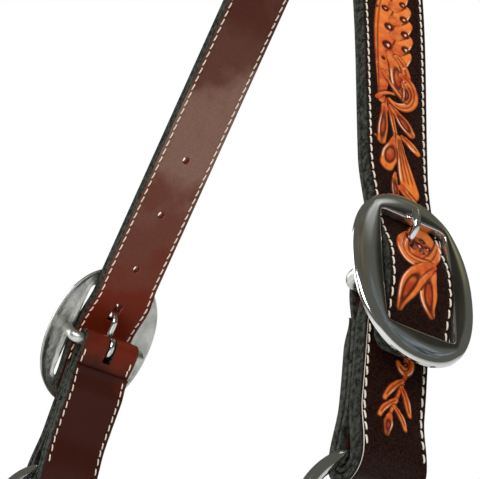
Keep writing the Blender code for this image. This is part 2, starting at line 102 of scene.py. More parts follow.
# Cart buckle
BUCKLE_WIDTH = 0.0475
BUCKLE_HEIGHT = 0.064
WINDOW_WIDTH = 0.027
WINDOW_HEIGHT = 0.0435
OUTLINE_POWER = 2.2
WINDOW_POWER = 14.0
PLATE_CREST = 0.0030
PLATE_CREST_SHARE = 0.1
PLATE_SIDE = 0.00075
PLATE_FOOT = 0.0001
DOME_SPACING = 0.7
DOME_POWER = 2.4
WINDOW_RIM = 0.0029
WINDOW_CORNER = 0.04
RIM_ROUNDING = ((0.018, 0.00006), (0.005, 0.0002), (0.0, 0.0004))
BACK_FLOOR = 0.00045
BACK_RIM = 0.012
BACK_LEDGE = 0.12
RECESS_INSET = 0.03
RECESS_END = 0.85
OUTER_LEDGE = (0.9, 0.985)
BAR_WIRE = 0.005
POST_SPACING = 0.0315
POST_BEND = 0.0028
TONGUE_WIRE = 0.0026
TONGUE_REACH = 0.0255
TONGUE_RISE_SHARES = ((0.02, 0), (0.42, 0), (0.53, 0.30), (0.62, 0.72), (0.70, 0.95), (0.78, 1.02), (1, 1))
TONGUE_START = 0.04
TONGUE_EASE = 0.05
TONGUE_TIP = 0.0016
TONGUE_TIP_SHARE = 0.25
HOOK_WRAP = 250.0
OUTER_HOLE_START = 0.0104
LINING_HOLE_START = 0.0093
TONGUE_HOLE_END = 0.0178
HOLE_MIDDLE = 0.00925
HOLE_CLOSING = 0.72
TONGUE_HOLE_WIDTH = 0.0036
TONGUE_SLOT_WIDTH = 0.0036

# Tab
TAB_LENGTH = 0.055
TAB_SIDE_LEAN = 14.0
TAB_OUTER_START = 0.0095
TAB_LINING_JOINT = 0.026

# Lower halter
CHEEK_DIRECTION = 187.3
NOSE_DIRECTION = 270.0
CHIN_DIRECTION = 125.0
CHEEK_PITCH = 0.200
LOWER_HALF_SPREAD = 0.084
CHEEK_LAP = 0.036
NOSE_REACH = 0.112
NOSE_RADIUS = 0.060
NOSE_LAP = 0.036
CHIN_REACH = 0.098
CHIN_JOINT = 0.030
THROAT_RADIUS = 0.060
THROAT_LAP = 0.034
JAW_JOINT = 0.080
JAW_LOOP_HALF_GAP = 0.0042
JAW_LOOP_END_INSET = 0.0008

# Stitches
STITCH_PITCH = 0.0037
STITCH_LENGTH = 0.0032
THREAD_RADIUS = 0.00031
THREAD_SLANT = 8.0
THREAD_DIP = 0.0006
THREAD_LIFT = 0.00010
THREAD_FULLNESS = 1.35
STITCH_INSET = 0.0018
ROW_MARGIN = 3 * STITCH_INSET
STITCH_GROOVE = 0.00022
GROOVE_HALF_WIDTH = 0.0006

# Carving
CARVING_LIFT = 0.00034
GROUND_DEPTH = 0.00036
PILLOW_REACH = 0.55
GROUND_FADE = 3.5
RAISED_SPAN = (-0.35, 0.15)
PIT_SPAN = (-0.35, 0.25)
BEAD_SPAN = (-0.2, 0.3)
FOOT_SHARE = 0.3
FOOT_FADE = 8
VEIN_RISE = 0.12
VEIN_SPAN = (0.06, 0.86)
VEIN_FADE = 6
HEART_PLACE = 0.66
HEART_REACH = 0.26
HEART_TONE = -0.8
EYE_TONE = -2.0
# An eye's bead is raised, set off its middle, and painted pale as a highlight.
BEAD_HIGHLIGHT_TONE = 2.0
BEAD_SIZE = 0.45
BEAD_ASIDE = (0.15, 0.2)
# Glints: pale strokes painted as highlights just inside one side of each leaf, as if lit from that side.
GLINT_DEPTH = 0.62
GLINT_WIDTH = 0.24
GLINT_LEAN = (0.2, 0.7)
GLINT_SPAN = (0.35, 0.55, 0.8, 0.95)
GLINT_LEAST = 0.15
GLINT_TONES = (1.1, 0.9)
MOTIF_MARGIN = 2
FAR = 20.0
UNIT_PITCH = 99
LEAF_TIP = 138
FAN_FOOT = 84

# How finely surfaces are stepped
PATH_STEP = 0.0008
FINE_STEP = 0.00032
PLAIN_STEP = 0.0008
EYE_STEPS = 40
CORNER_STEPS = 4
CROWN_COUNTS = (78, 6)
CROWN_LINING_COUNTS = (6, 30)
TAB_COUNTS = (78, 8)
TAB_LINING_COUNTS = (30, 8)
COVER_COUNTS = (60, 8)
LINING_COUNTS = (6, 24)
NARROW_COUNTS = (22, 10)
PLATE_STEPS = 168
DOME_STEPS = 26
WELL_STEPS = 4
RECESS_STEPS = 9
HOOK_STEPS = 28
TONGUE_STEPS = 40
TONGUE_MARKS = 401
ELBOW_STEP = 15
RING_STEPS = 128
WIRE_SIDES = 24
HOLE_SIDES = 32
CUT_OVERRUN = 0.003
CLOSE_POINTS = 0.00001

RING_RADIUS = (RING_BORE + RING_WIRE) / 2
WIRE_RADIUS = RING_WIRE / 2
BAR_RADIUS = BAR_WIRE / 2
TONGUE_RADIUS = TONGUE_WIRE / 2
PINCH = FIT / 2
RING_EYE = WIRE_RADIUS + RING_EYE_CLEARANCE
BAR_EYE = BAR_RADIUS + FIT
CROWN_BACK_DEPTH = PINCH + LINING_PLY
CROWN_FRONT_DEPTH = PINCH + OUTER_PLY
HOOK_RADIUS = BAR_RADIUS + FIT + TONGUE_RADIUS
BAR_TO_CROWN = max(HOOK_RADIUS + TONGUE_RADIUS, BAR_EYE + LINING_PLY) + FIT + CROWN_BACK_DEPTH
BAR_TO_PLATE = BAR_TO_CROWN + CROWN_FRONT_DEPTH + FIT

ACROSS = Vector((1, 0, 0))


def side_direction(degrees):
    """A unit vector in the halter's middle plane, from straight up towards the back."""
    angle = math.radians(degrees)
    return Vector((0, math.sin(angle), math.cos(angle)))


UP_CROWN = side_direction(CROWN_BACK_LEAN)
BACK_CROWN = side_direction(CROWN_BACK_LEAN + 90)
SIN_LEAN = math.sin(math.radians(CROWN_SIDE_LEAN))
COS_LEAN = math.cos(math.radians(CROWN_SIDE_LEAN))
LEG_SPREAD = POLL_FLAT / 2 + POLL_RADIUS * COS_LEAN + CROWN_LEG * SIN_LEAN
LEG_DEPTH = CROWN_BACK_DEPTH - POLL_RADIUS * (1 - SIN_LEAN) - CROWN_LEG * COS_LEAN
BAR_SPREAD = LEG_SPREAD - BAR_TO_CROWN * COS_LEAN
BAR_HEIGHT = LEG_DEPTH - BAR_TO_CROWN * SIN_LEAN
UPPER_SPREAD = BAR_SPREAD + TAB_LENGTH * math.sin(math.radians(TAB_SIDE_LEAN))
UPPER_WIRE_HEIGHT = BAR_HEIGHT - TAB_LENGTH * math.cos(math.radians(TAB_SIDE_LEAN))

UPPER_AXIS = UP_CROWN * (UPPER_WIRE_HEIGHT - RING_RADIUS)
LOWER_AXIS = UPPER_AXIS + side_direction(CHEEK_DIRECTION) * CHEEK_PITCH
CHIN_RING_CENTRE = LOWER_AXIS + side_direction(CHIN_DIRECTION) * CHIN_REACH
JAW_AXIS = CHIN_RING_CENTRE + side_direction(CHIN_DIRECTION - 90) * RING_RADIUS
THROAT_LINK = JAW_AXIS - LOWER_AXIS


class Plane:
    """The flat plane of a strap's route: its origin, two directions in it and one across the strap."""

    def __init__(self, *directions):
        self.origin, self.first, self.second, self.width = map(np.array, directions)


class Route:
    """A strap's centre line: a start, a heading and moves of (length, turn to the left in degrees)."""

    def __init__(self, start, heading, moves):
        self.start = start
        self.heading = heading
        self.moves = moves
        self.length = sum(length for length, _ in moves)

    def at(self, distance):
        """The point and the unit tangent at this distance along the route."""
        x, y = self.start
        angle = math.radians(self.heading)
        for length, turn in self.moves:
            part = min(distance, length)
            bend = math.radians(turn) * part / length
            chord = 2 * (part / bend) * math.sin(bend / 2) if bend else part
            x += chord * math.cos(angle + bend / 2)
            y += chord * math.sin(angle + bend / 2)
            angle += bend
            distance -= part
            if distance <= 0:
                break
        return x, y, math.cos(angle), math.sin(angle)


class Fold:
    """A strap folded round a bar or wire at the ends of its route, with its legs pinched together."""

    def __init__(self, route, eye_a, eye_b, hold=0.0):
        self.route = route
        self.eyes = (eye_a, eye_b)
        self.holds = (0.0, hold)

    def opening(self, distance):
        """Half the space between the two legs at these distances along the route."""
        gap = np.full(len(distance), PINCH)
        ends = (distance, self.route.length - distance)
        for eye, hold, away in zip(self.eyes, self.holds, ends):
            share = np.clip((away - hold) / TAPER, 0, 1)
            gap += (eye - PINCH) * (1 + np.cos(math.pi * share)) / 2
        return gap

    def weights(self, distance):
        """How much the leg follows the wire at either end."""
        ends = (distance, self.route.length - distance)
        return [np.where(away < FADE, (1 + np.cos(math.pi * away / FADE)) / 2, 0) for away in ends]

    def leg(self, sign, start, end):
        """One leg's inner face: to the left of the route for sign +1, to the right for -1."""
        count = math.ceil(abs(end - start) / PATH_STEP) + 1
        distance = np.linspace(start, end, count)
        x, y, tx, ty = np.array([self.route.at(d) for d in distance]).T
        gap = sign * self.opening(distance)
        return np.column_stack([x - ty * gap, y + tx * gap, *self.weights(distance)])

    def eye(self, end):
        """The half turn round the wire at end 0 or 1, between the two legs."""
        x, y, tx, ty = self.route.at(self.route.length * end)
        outward = math.atan2(ty, tx) if end else math.atan2(-ty, -tx)
        angle = outward + math.pi / 2 - math.pi * np.arange(1, EYE_STEPS) / EYE_STEPS
        around = self.eyes[end]
        flat = np.ones(len(angle))
        return np.column_stack(
            [x + around * np.cos(angle), y + around * np.sin(angle), flat * (1 - end), flat * end]
        )

    def wrapped(self, first, last):
        """The legs of a strap that goes from first, behind, round both ends and behind again to last."""
        end = self.route.length
        front = [self.leg(-1, first, 0), self.eye(0), self.leg(1, 0, end)]
        return [*front, self.eye(1), self.leg(-1, end, last)]


def drop(across):
    """How far a ring's wire falls away from its top, this far to the side."""
    return RING_RADIUS - np.sqrt(RING_RADIUS**2 - across**2)


class Ply:
    """A ply of leather along a path: its faces lie at the heights low and high to the path's left."""

    def __init__(self, plane, legs, low, high, width, pulls=(None, None), lay=None):
        path = np.vstack(legs)
        far = np.hypot(*np.diff(path[:, :2], axis=0).T) > CLOSE_POINTS
        path = path[np.concatenate([[True], far])]
        self.plane = plane
        self.path = path
        self.along = np.concatenate([[0], np.cumsum(np.hypot(*np.diff(path[:, :2], axis=0).T))])
        self.length = self.along[-1]
        tangent = np.gradient(path[:, :2], self.along, axis=0)
        tangent /= np.linalg.norm(tangent, axis=1, keepdims=True)
        self.normal = np.column_stack([-tangent[:, 1], tangent[:, 0]])
        self.low = low
        self.high = high
        self.width = width
        self.pulls = pulls
        self.lay = lay

    def stations(self, step):
        """Distances along the ply, spaced evenly by no more than this step."""
        return np.linspace(0, self.length, math.ceil(self.length / step) + 1)

    def spots(self, along, across, height):
        """The points at these distances along the path, across the strap and up from the path."""
        if self.lay:
            swell, aside = self.lay(along, across, self.length)
            height = height + swell
            across = across + aside
        x, y, near_a, near_b = (np.interp(along, self.along, column) for column in self.path.T)
        nx, ny = (np.interp(along, self.along, column) for column in self.normal.T)
        size = np.hypot(nx, ny)
        x = x + nx / size * height
        y = y + ny / size * height
        plane = self.plane
        spots = plane.origin + np.outer(x, plane.first) + np.outer(y, plane.second)
        spots += np.outer(across, plane.width)
        for pull, weight in zip(self.pulls, (near_a, near_b)):
            if pull is not None:
                spots += np.outer(drop(across) * weight, np.array(pull))
        return spots


def smooth(value, low, high):
    """A smooth step from 0 at low to 1 at high."""
    share = np.clip((value - low) / (high - low), 0, 1)
    return share * share * (3 - 2 * share)


# Motifs, in millimetres: along the strap from a buckle's bar or a unit's foot, and across it towards its
# back edge. A leaf is a spine, its half widths from foot to tip, where its veins run as shares of its half
# width, and the size of its pressed heart as another. An eye is its middle and its radius.
FAN = [
    ([(73.5, -3.5), (66, -2), (57, -0.4)], (0.9, 1.2, 1.0), (0.0,), 0),
    ([(59, 1.8), (57.3, 5), (54.2, 8.2)], (0.7, 1.6, 1.8, 1.3), (-0.2,), 0),
    ([(42, -1.6), (38, -2.6), (31.5, -2.6)], (0.5, 1.3, 1.7, 1.4), (), 0.5),
    ([(56.5, -6.0), (54.4, -7.6), (55.4, -9.2)], (1.3, 1.1, 0.5), (), 0),
    ([(73, -4.9), (64, -5.2), (54.2, -6.6)], (0.9, 1.5, 2.2, 1.9), (), 0.45),
    ([(71, -2.6), (67, 1.6), (61.8, 5.6)], (0.8, 1.8, 2.7, 1.9), (-0.2,), 0.5),
    ([(58, -0.8), (51, -2.5), (44.6, -4.8)], (0.9, 2.2, 3.5, 2.9), (), 0.55),
    ([(58, 0.3), (47, 2.2), (37, 4.0)], (1.0, 1.9, 3.2, 4.0), (-0.5, 0.0, 0.45), 0),
    ([(36.5, 0.4), (33.4, 3.4), (31.4, 7.4)], (1.5, 1.8, 1.2), (0.0,), 0),
]
SCROLLS = [
    ([(95, 0.2), (92.5, 4.2), (85, 5.6), (79.5, 3)], (1.0, 1.8, 2.0, 0.9), (0.0,), 0),
    ([(86, -5.4), (81, -2.4), (76.5, 2.0)], (0.7, 0.9, 0.8), (), 0),
    ([(87, 1.8), (85.4, 9.4), (71, 9.4), (70, 0.8), (74, -3.0)], (0.9, 1.9, 2.4, 2.0, 0.8), (-0.15,), 0),
    ([(83.5, 2.6), (80, 5.4), (76, 3.4)], (0.8, 1.9, 1.4), (), 0.4),
    ([(73, -8.0), (77.2, -5.0), (77, -1.2)], (0.8, 1.0, 0.7), (), 0),
]
LONG_LEAF = [
    (
        [(72.5, -6.2), (86, -5.4), (98, -2.9), (120, -2.7), (137, 1.4)],
        (1.2, 2.6, 4.4, 5.6, 5.7, 4.4, 1.0),
        (-0.72,),
        0,
    ),
    ([(90, 0.0), (93, 2.6), (97.4, 3.6)], (2.0, 3.0, 3.2), (), 0),
    ([(97.5, 0.0), (100.6, 3.0), (104.8, 4.2)], (2.0, 3.2, 3.3), (), 0),
    ([(105, 0.0), (108, 3.0), (112, 4.3)], (2.0, 3.2, 3.2), (), 0),
    ([(112, 0.0), (115.4, 3.0), (119, 4.2)], (2.0, 3.2, 3.1), (), 0),
    ([(119, 0.2), (122.4, 2.8), (126, 3.8)], (2.0, 3.0, 2.8), (), 0),
    ([(95.5, -2.4), (88, 1.6), (79, 0.6)], (1.4, 2.8, 3.4, 2.2), (), 0.5),
]
LEAF_EYES = [
    ((117.3, -3.4), 1.2),
    ((108.6, -2.3), 1.6),
    ((99.4, -3.2), 1.8),
    ((92.4, -5.0), 0.55),
    ((117.2, -7.0), 0.5),
    ((125.2, -1.6), 1.1),
    ((121.6, 3.9), 1.2),
    ((114.4, 3.9), 1.4),
    ((107.2, 4.2), 1.5),
    ((100.0, 4.2), 1.5),
    ((90.6, 3.0), 1.2),
    ((83.4, 3.6), 1.1),
]
WINDOW_FLOWER = [
    ([(8.4, 0.2), (13, 2.4), (17.5, 4.4)], (4.4, 5.8, 5.6), (), 0.96),
    ([(3.6, 1.4), (8.6, 7.4), (18, 11.0)], (2.2, 2.1, 1.3), (-0.1,), 0),
    ([(17.4, -1.4), (9.2, -8.6), (0.6, -8.2), (5.2, 3.2)], (1.2, 2.3, 2.5, 1.2), (-0.1,), 0),
    ([(4.2, 5.0), (-6.2, -0.4), (-12.9, 4.6)], (1.0, 3.1, 3.8, 1.2), (0.35,), 0.42),
    ([(4.4, 4.8), (-2.6, -5.4), (-13.9, -7.4)], (1.2, 3.5, 3.9, 1.2), (-0.3,), 0.42),
]
WINDOW_EYES = [
    ((13.2, 2.0), 1.5),
    ((9.8, 1.8), 1.0),
    ((13.4, 5.4), 1.0),
    ((16.6, 4.2), 1.0),
    ((10.6, -1.6), 0.9),
    ((15.8, -0.2), 0.9),
]
SPRIG = [
    ([(20, 3.4), (26, 7.4), (29.6, 3.0), (25, 0.6)], (1.3, 2.3, 2.0, 1.0), (0.0,), 0),
    ([(28.6, 3.8), (38, 0.6), (47, -2.4)], (0.7, 0.9, 0.7), (), 0),
    ([(30.6, 2.8), (33.4, -1.4), (38, -3.6)], (0.7, 1.5, 1.0), (0.0,), 0),
    ([(33, 2.6), (37, 5.6), (42, 6.2)], (0.7, 1.5, 1.0), (0.0,), 0),
    ([(37.6, 0.8), (40.6, -3.4), (45.6, -5.6)], (0.7, 1.5, 1.0), (0.0,), 0),
    ([(40.4, 0.2), (44.4, 3.4), (48.6, 3.6)], (0.7, 1.5, 1.0), (0.0,), 0),
    ([(45, -1.8), (47.6, -2.6), (51.4, -3.6)], (0.8, 2.0, 1.1), (), 0.45),
]
SPRIG_EYES = [((24.6, 3.6), 0.8)]
ROSETTE_REACH = 8.6
ROSETTE_PETALS = 6
ROSETTE_HALF_WIDTHS = (1.2, 2.9, 3.1, 1.4)
ROSETTE_HEART = 1.9
ROSETTE_SEEDS = 3.1
ROSETTE_SEED = 0.5
PETAL_MARKS = (0.2, 0.6, 0.78)
PETAL_HEART = 0.4
LINE_STEPS = 44


def profile(half_widths, count):
    """Half widths carried along a leaf in smooth swellings."""
    marks = np.linspace(0, 1, len(half_widths))
    fine = np.interp(np.linspace(-0.5, 1.5, 4 * count), marks, half_widths)
    reach = max(3, round(1.2 * count / len(half_widths)))
    window = np.hanning(2 * reach + 3)[1:-1]
    fine = np.convolve(fine, window / window.sum(), "same")
    return np.interp(np.linspace(0, 1, count), np.linspace(-0.5, 1.5, 4 * count), fine)


def spine_points(points, count):
    """Points spaced evenly along a Bezier curve from the first of these to the last."""
    shares = np.linspace(0, 1, count * 4)[:, None]
    degree = len(points) - 1
    curve = sum(
        math.comb(degree, i) * shares**i * (1 - shares) ** (degree - i) * np.array(point, float)
        for i, point in enumerate(points)
    )
    run = np.concatenate([[0], np.cumsum(np.hypot(*np.diff(curve, axis=0).T))])
    even = np.linspace(0, run[-1], count)
    return np.column_stack([np.interp(even, run, curve[:, 0]), np.interp(even, run, curve[:, 1])])


class Carving:
    """What is carved into a face: how far inside the motifs its points lie, their lines, tones and painted
    glints.
    """

    def __init__(self, along, across):
        self.along = along / MM
        self.across = across / MM
        count = len(along)
        self.motif = np.full(count, -FAR)
        self.line = np.full(count, FAR)
        self.tone = np.zeros(count)
        self.glint = np.zeros(count)
        self.eye = np.full(count, FAR)
        self.bead = np.full(count, FAR)

    def leaf(self, spine, half_widths, veins, heart=0, move=0.0, flip=1, face=1):
        """A leaf or band, laid over what is there."""
        centres = spine_points(spine, LINE_STEPS)
        centres = centres * (face, flip) + (move, 0)
        shares = np.linspace(0, 1, LINE_STEPS)
        widths = profile(half_widths, LINE_STEPS)
        low = centres.min(axis=0) - widths.max() - MOTIF_MARGIN
        high = centres.max(axis=0) + widths.max() + MOTIF_MARGIN
        beside = (self.along > low[0]) & (self.along < high[0])
        index = np.nonzero(beside & (self.across > low[1]) & (self.across < high[1]))[0]
        if not len(index):
            return
        off_along = self.along[index, None] - centres[None, :, 0]
        off_across = self.across[index, None] - centres[None, :, 1]
        away = np.hypot(off_along, off_across) - widths
        nearest = away.argmin(axis=1)
        rows = np.arange(len(index))
        away = away[rows, nearest]
        tangent = np.gradient(centres, axis=0)
        tangent /= np.linalg.norm(tangent, axis=1, keepdims=True)
        along, across = tangent[nearest].T
        side = off_along[rows, nearest] * -across + off_across[rows, nearest] * along
        share = shares[nearest]
        width = widths[nearest]
        inside = away < 0
        line = np.abs(away) + FOOT_FADE * np.maximum(FOOT_SHARE - share, 0) * inside
        for vein in veins:
            cut = np.abs(side - vein * flip * face * width) + VEIN_RISE
            cut += VEIN_FADE * (np.maximum(share - VEIN_SPAN[1], 0) + np.maximum(VEIN_SPAN[0] - share, 0))
            line = np.where(inside, np.minimum(line, cut), line)
        tone = share.copy()
        if heart:
            reach = heart * width
            ring = np.hypot(side / reach, (share - HEART_PLACE) / HEART_REACH)
            line = np.where(inside, np.minimum(line, np.abs(ring - 1) * reach), line)
            tone[ring < 1] = HEART_TONE
        covered = index[inside]
        self.line[covered] = line[inside]
        self.tone[covered] = tone[inside]
        self.eye[covered] = FAR
        beside = index[~inside]
        self.line[beside] = np.minimum(self.line[beside], line[~inside])
        self.motif[index] = np.maximum(self.motif[index], -away)
        # Painted highlight: a pale glint stroke just inside the leaf's edge, on the side the light comes
        # from.
        lean = side * flip * face / np.maximum(width, 0.1)
        glint = np.exp(-(((away + GLINT_DEPTH) / GLINT_WIDTH) ** 2)) * smooth(lean, *GLINT_LEAN)
        glint *= swelling(share, GLINT_SPAN)
        self.glint[covered] = glint[inside]

    def seed(self, centre, radius, move=0.0, flip=1, face=1):
        """A round eye: a raised bead, painted pale as a highlight, in a dark ring."""
        along = self.along - (centre[0] * face + move)
        across = self.across - centre[1] * flip
        away = np.hypot(along, across) - radius
        self.eye = np.minimum(self.eye, away)
        bead = np.hypot(along - BEAD_ASIDE[0] * radius, across - BEAD_ASIDE[1] * radius) - BEAD_SIZE * radius
        self.bead = np.minimum(self.bead, bead)
        self.line = np.minimum(self.line, np.abs(away))

    def group(self, leaves, eyes=(), move=0.0, flip=1, face=1):
        for spine, half_widths, veins, heart in leaves:
            self.leaf(spine, half_widths, veins, heart, move, flip, face)
        for centre, radius in eyes:
            self.seed(centre, radius, move, flip, face)

    def rosette(self, place):
        """An open flower of round petals about a seeded heart."""
        for i in range(ROSETTE_PETALS):
            angle = 2 * math.pi * i / ROSETTE_PETALS
            x = ROSETTE_REACH * math.cos(angle)
            y = ROSETTE_REACH * math.sin(angle)
            spine = [(place + x * mark, y * mark) for mark in PETAL_MARKS]
            self.leaf(spine, ROSETTE_HALF_WIDTHS, (), PETAL_HEART)
        self.seed((place, 0), ROSETTE_HEART)
        for i in range(ROSETTE_PETALS):
            angle = 2 * math.pi * (i + 0.5) / ROSETTE_PETALS
            middle = (place + ROSETTE_SEEDS * math.cos(angle), ROSETTE_SEEDS * math.sin(angle))
            self.seed(middle, ROSETTE_SEED)

    def relief(self):
        """How far the face stands above or below its own level, in metres."""
        raised = smooth(self.motif, *RAISED_SPAN)
        pillow = 1 - np.exp(-self.line / PILLOW_REACH)
        pit = smooth(-self.eye, *PIT_SPAN)
        bead = smooth(-self.bead, *BEAD_SPAN)
        sunk = GROUND_DEPTH * np.exp(-np.maximum(-self.motif, 0) / GROUND_FADE)
        top = CARVING_LIFT * pillow * (1 - pit) + pit * (bead * CARVING_LIFT - GROUND_DEPTH)
        return raised * top - (1 - raised) * sunk

    def colours(self, edge):
        """The four values that the leather's finish reads, with the edge's share last."""
        line = np.minimum(self.line, np.abs(self.eye) + 0.05)
        tone = np.where(self.eye < 0, EYE_TONE, self.tone)
        # Painted highlights: the glints and each bead's pale top take the light tones.
        shining = (self.glint > GLINT_LEAST) & (self.eye > 0)
        tone = np.where(shining, GLINT_TONES[0] + GLINT_TONES[1] * self.glint, tone)
        tone = np.where(self.bead < -0.1, BEAD_HIGHLIGHT_TONE, tone)
        return np.column_stack([self.motif, line, tone, edge])


def swelling(value, span):
    """A smooth rise between the span's first two marks, times a smooth fall between its last two."""
    return smooth(value, *span[:2]) * (1 - smooth(value, *span[2:]))


def crown_lay(along, across, length):
    """The crown's lie: how far it stands out, and how far it lies towards its back edge.

    It swells over each bar. Above the near buckle it lies a little forward, and higher up it turns aside.
    """
    up = np.minimum(along, length - along) - CROWN_TAIL
    swell = BUCKLE_BULGE * (1 - smooth(np.abs(up), BULGE_TOP * BULGE_REACH, BULGE_REACH))
    near = length - along - CROWN_TAIL
    turn = math.radians(NEAR_TURN) * swelling(near, NEAR_TURN_SPAN)
    dip = math.radians(NEAR_DIP) * swelling(near, NEAR_DIP_SPAN)
    aside = (WINDOW_SHIFT + WINDOW_SPREAD * across) * (1 - smooth(np.abs(up), *WINDOW_SPAN))
    aside -= NEAR_SHIFT * swelling(near, NEAR_SHIFT_SPAN)
    return swell + (across + STRAP_WIDTH / 2) * (np.sin(turn) - np.sin(dip)), aside


def crown_carving(along, across, length):
    """The crown from both buckles to a flower over the poll."""
    up = np.minimum(along, length - along) - CROWN_TAIL
    carving = Carving(up, across)
    carving.group(FAN)
    carving.group(LONG_LEAF, LEAF_EYES)
    carving.group(SCROLLS)
    carving.group(WINDOW_FLOWER, WINDOW_EYES)
    carving.group(LONG_LEAF, LEAF_EYES, UNIT_PITCH, -1)
    carving.group(FAN, (), UNIT_PITCH, -1)
    carving.group(SCROLLS, (), UNIT_PITCH, -1)
    carving.rosette((length / 2 - CROWN_TAIL) / MM)
    return carving


def add_object(name, data):
    obj = bpy.data.objects.new(name, data)
    bpy.context.scene.collection.objects.link(obj)
    return obj


def clear_selection():
    for other in bpy.context.selected_objects:
        other.select_set(False)


def added(operator, **settings):
    """Adds one of the basic meshes."""
    clear_selection()
    operator(**settings)
    return bpy.context.object


def values_of(items, key, size, kind=np.float32):
    """Reads this key, of so many numbers, from every item into one flat array."""
    values = np.empty(len(items) * size, kind)
    items.foreach_get(key, values)
    return values


def give_second_finish(mesh, part):
    """Gives the second material to the faces whose points are all in this part."""
    slots = [int(all(part[v] for v in face.vertices)) for face in mesh.polygons]
    mesh.polygons.foreach_set("material_index", slots)


def activate(obj):
    """Makes this the only selected and active object."""
    clear_selection()
    bpy.context.view_layer.objects.active = obj
    obj.select_set(True)


def shade(obj, degrees=42):
    activate(obj)
    bpy.ops.object.shade_smooth_by_angle(angle=math.radians(degrees))


def face_outward(obj, weld=True, close=False):
    """Welds a mesh, closes its open ends where asked, and turns its faces outward."""
    activate(obj)
    bpy.ops.object.mode_set(mode="EDIT")
    bpy.ops.mesh.select_all(action="SELECT")
    if weld:
        bpy.ops.mesh.remove_doubles(threshold=CLOSE_POINTS)
    if close:
        bpy.ops.mesh.select_all(action="DESELECT")
        bpy.ops.mesh.select_mode(type="EDGE")
        bpy.ops.mesh.select_non_manifold(extend=False)
        bpy.ops.mesh.edge_face_add()
        bpy.ops.mesh.select_all(action="SELECT")
    bpy.ops.mesh.normals_make_consistent(inside=False)
    bpy.ops.mesh.select_mode(type="VERT")
    bpy.ops.object.mode_set(mode="OBJECT")


def dress(piece, node, body):
    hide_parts(node)
    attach(piece, body)


def cross_section(ply, left_count, right_count, left_edge, right_edge):
    """The ply's section from the left face round to it again.

    Its rows are shares across, insets, overhangs, heights, the faces they are on and the edge's shares.
    """

    def corner(side, edge, level, inward, turns):
        reach = side * edge
        depth = inward * edge
        points = [(math.sin(turn), 1 - math.cos(turn)) for turn in turns]
        return [(side, edge, reach * out, level + depth * down, 0, out) for out, down in points]

    turns = np.linspace(0, math.pi / 2, CORNER_STEPS + 1)
    away, back = turns[1:], turns[::-1][:-1]
    rows = [(share, left_edge, 0, ply.high, 1, 0) for share in np.linspace(-1, 1, left_count)]
    rows += corner(1, left_edge, ply.high, -1, away) + corner(1, right_edge, ply.low, 1, back)
    rows += [(share, right_edge, 0, ply.low, -1, 0) for share in np.linspace(1, -1, right_count)]
    rows += corner(-1, right_edge, ply.low, 1, away) + corner(-1, left_edge, ply.high, -1, back)
    return np.array(rows + rows[:1]).T


def lay_strap(
    name,
    ply,
    finish,
    counts,
    edges=FRONT_EDGES,
    stations=None,
    carve=None,
    pointed=False,
    skive=False,
    lit=False,
):
    """The ply as a closed mesh, with rounded ends and edges and its carving in relief.

    The counts are the points across its left and right faces. A ply with a skived end is thinned to it, and
    its half towards that end has the lining's colour. A lit ply has a painted highlight line along its front
    edge.
    """
    left_edge, right_edge = edges
    section = cross_section(ply, *counts, left_edge, right_edge)
    rows = section.shape[1]
    if stations is None:
        stations = ply.stations(PLAIN_STEP)
    grid = bpy.ops.mesh.primitive_grid_add
    obj = added(grid, x_subdivisions=len(stations) - 1, y_subdivisions=rows - 1, size=1)
    obj.name = name
    obj.data.name = name
    along = np.tile(stations, rows)
    share, inset, overhang, level, face, edge = (np.repeat(row, len(stations)) for row in section)
    away = np.minimum(along, ply.length - along)
    ending = np.clip(away / END_ROUNDING, 0, 1)
    ending = np.sqrt(1 - (1 - ending) ** 2)
    half = ply.width / 2 - left_edge * (1 - ending)
    if pointed:
        run = np.clip(away / BILLET_POINT, 0, 1)
        half = half * (BILLET_TIP + (1 - BILLET_TIP) * np.sqrt(1 - (1 - run) ** 2))
    if skive:
        level = ply.low + (level - ply.low) * skived(ply, along)
    middle = (ply.low + ply.high) / 2
    level = middle + (level - middle) * (END_THICKNESS + (1 - END_THICKNESS) * ending)
    across = share * (half - inset) + overhang
    carving = carve(along, across, ply.length) if carve else Carving(along, across)
    groove = stitch_groove(ply, across)
    level = level + np.where(face > 0, (carving.relief() + groove) * ending, 0)
    level = level - np.where(face < 0, groove * ending, 0)
    obj.data.vertices.foreach_set("co", ply.spots(along, across, level).ravel())
    burnish = np.maximum(edge, 1 - smooth(away, 0, END_ROUNDING))
    hidden = -1 if left_edge > right_edge else 1
    near_edge = 1 - smooth(ply.width / 2 - np.abs(across), HIDDEN_EDGE / 2, HIDDEN_EDGE)
    burnish = np.maximum(burnish, np.where(face == hidden, near_edge, 0))
    if skive:
        burnish = np.where(ply.length - along < 2 * END_ROUNDING, edge, burnish)
    values = carving.colours(burnish)
    behind = along > ply.length / 2
    if lit:
        # Painted highlight: a pale line along the front edge of the face, where the light catches it.
        highlight_line = (across < left_edge + PAINTED_HIGHLIGHT_WIDTH - ply.width / 2) & (level > ply.high - left_edge / 2)
        values[highlight_line & (along < ply.length / 2)] = PAINTED_HIGHLIGHT_EDGE
    values[face <= 0, 0] = -FAR
    if skive:
        values[behind, 0] = -FAR
        values[behind, 2] = SKIVED_TONE
    layer = obj.data.attributes.new("carving", "FLOAT_COLOR", "POINT")
    layer.data.foreach_set("color", values.ravel().astype(np.float32))
    face_outward(obj, close=True)
    obj.data.materials.append(finish)
    if skive:
        obj.data.materials.append(lined)
        tones = values_of(obj.data.attributes["carving"].data, "color", 4)
        give_second_finish(obj.data, tones.reshape(-1, 4)[:, 2] < SKIVED_TONE + 1)
    shade(obj)
    return obj


def skived(ply, along):
    """The share of its thickness that a ply keeps towards its skived end."""
    return SKIVED_END + (1 - SKIVED_END) * smooth(ply.length - along, 0, SKIVE)


def stitch_groove(ply, across):
    """The channel that a row of stitches lies in."""
    off = (np.abs(across) - (ply.width / 2 - STITCH_INSET)) / GROOVE_HALF_WIDTH
    return -STITCH_GROOVE * np.exp(-off * off)


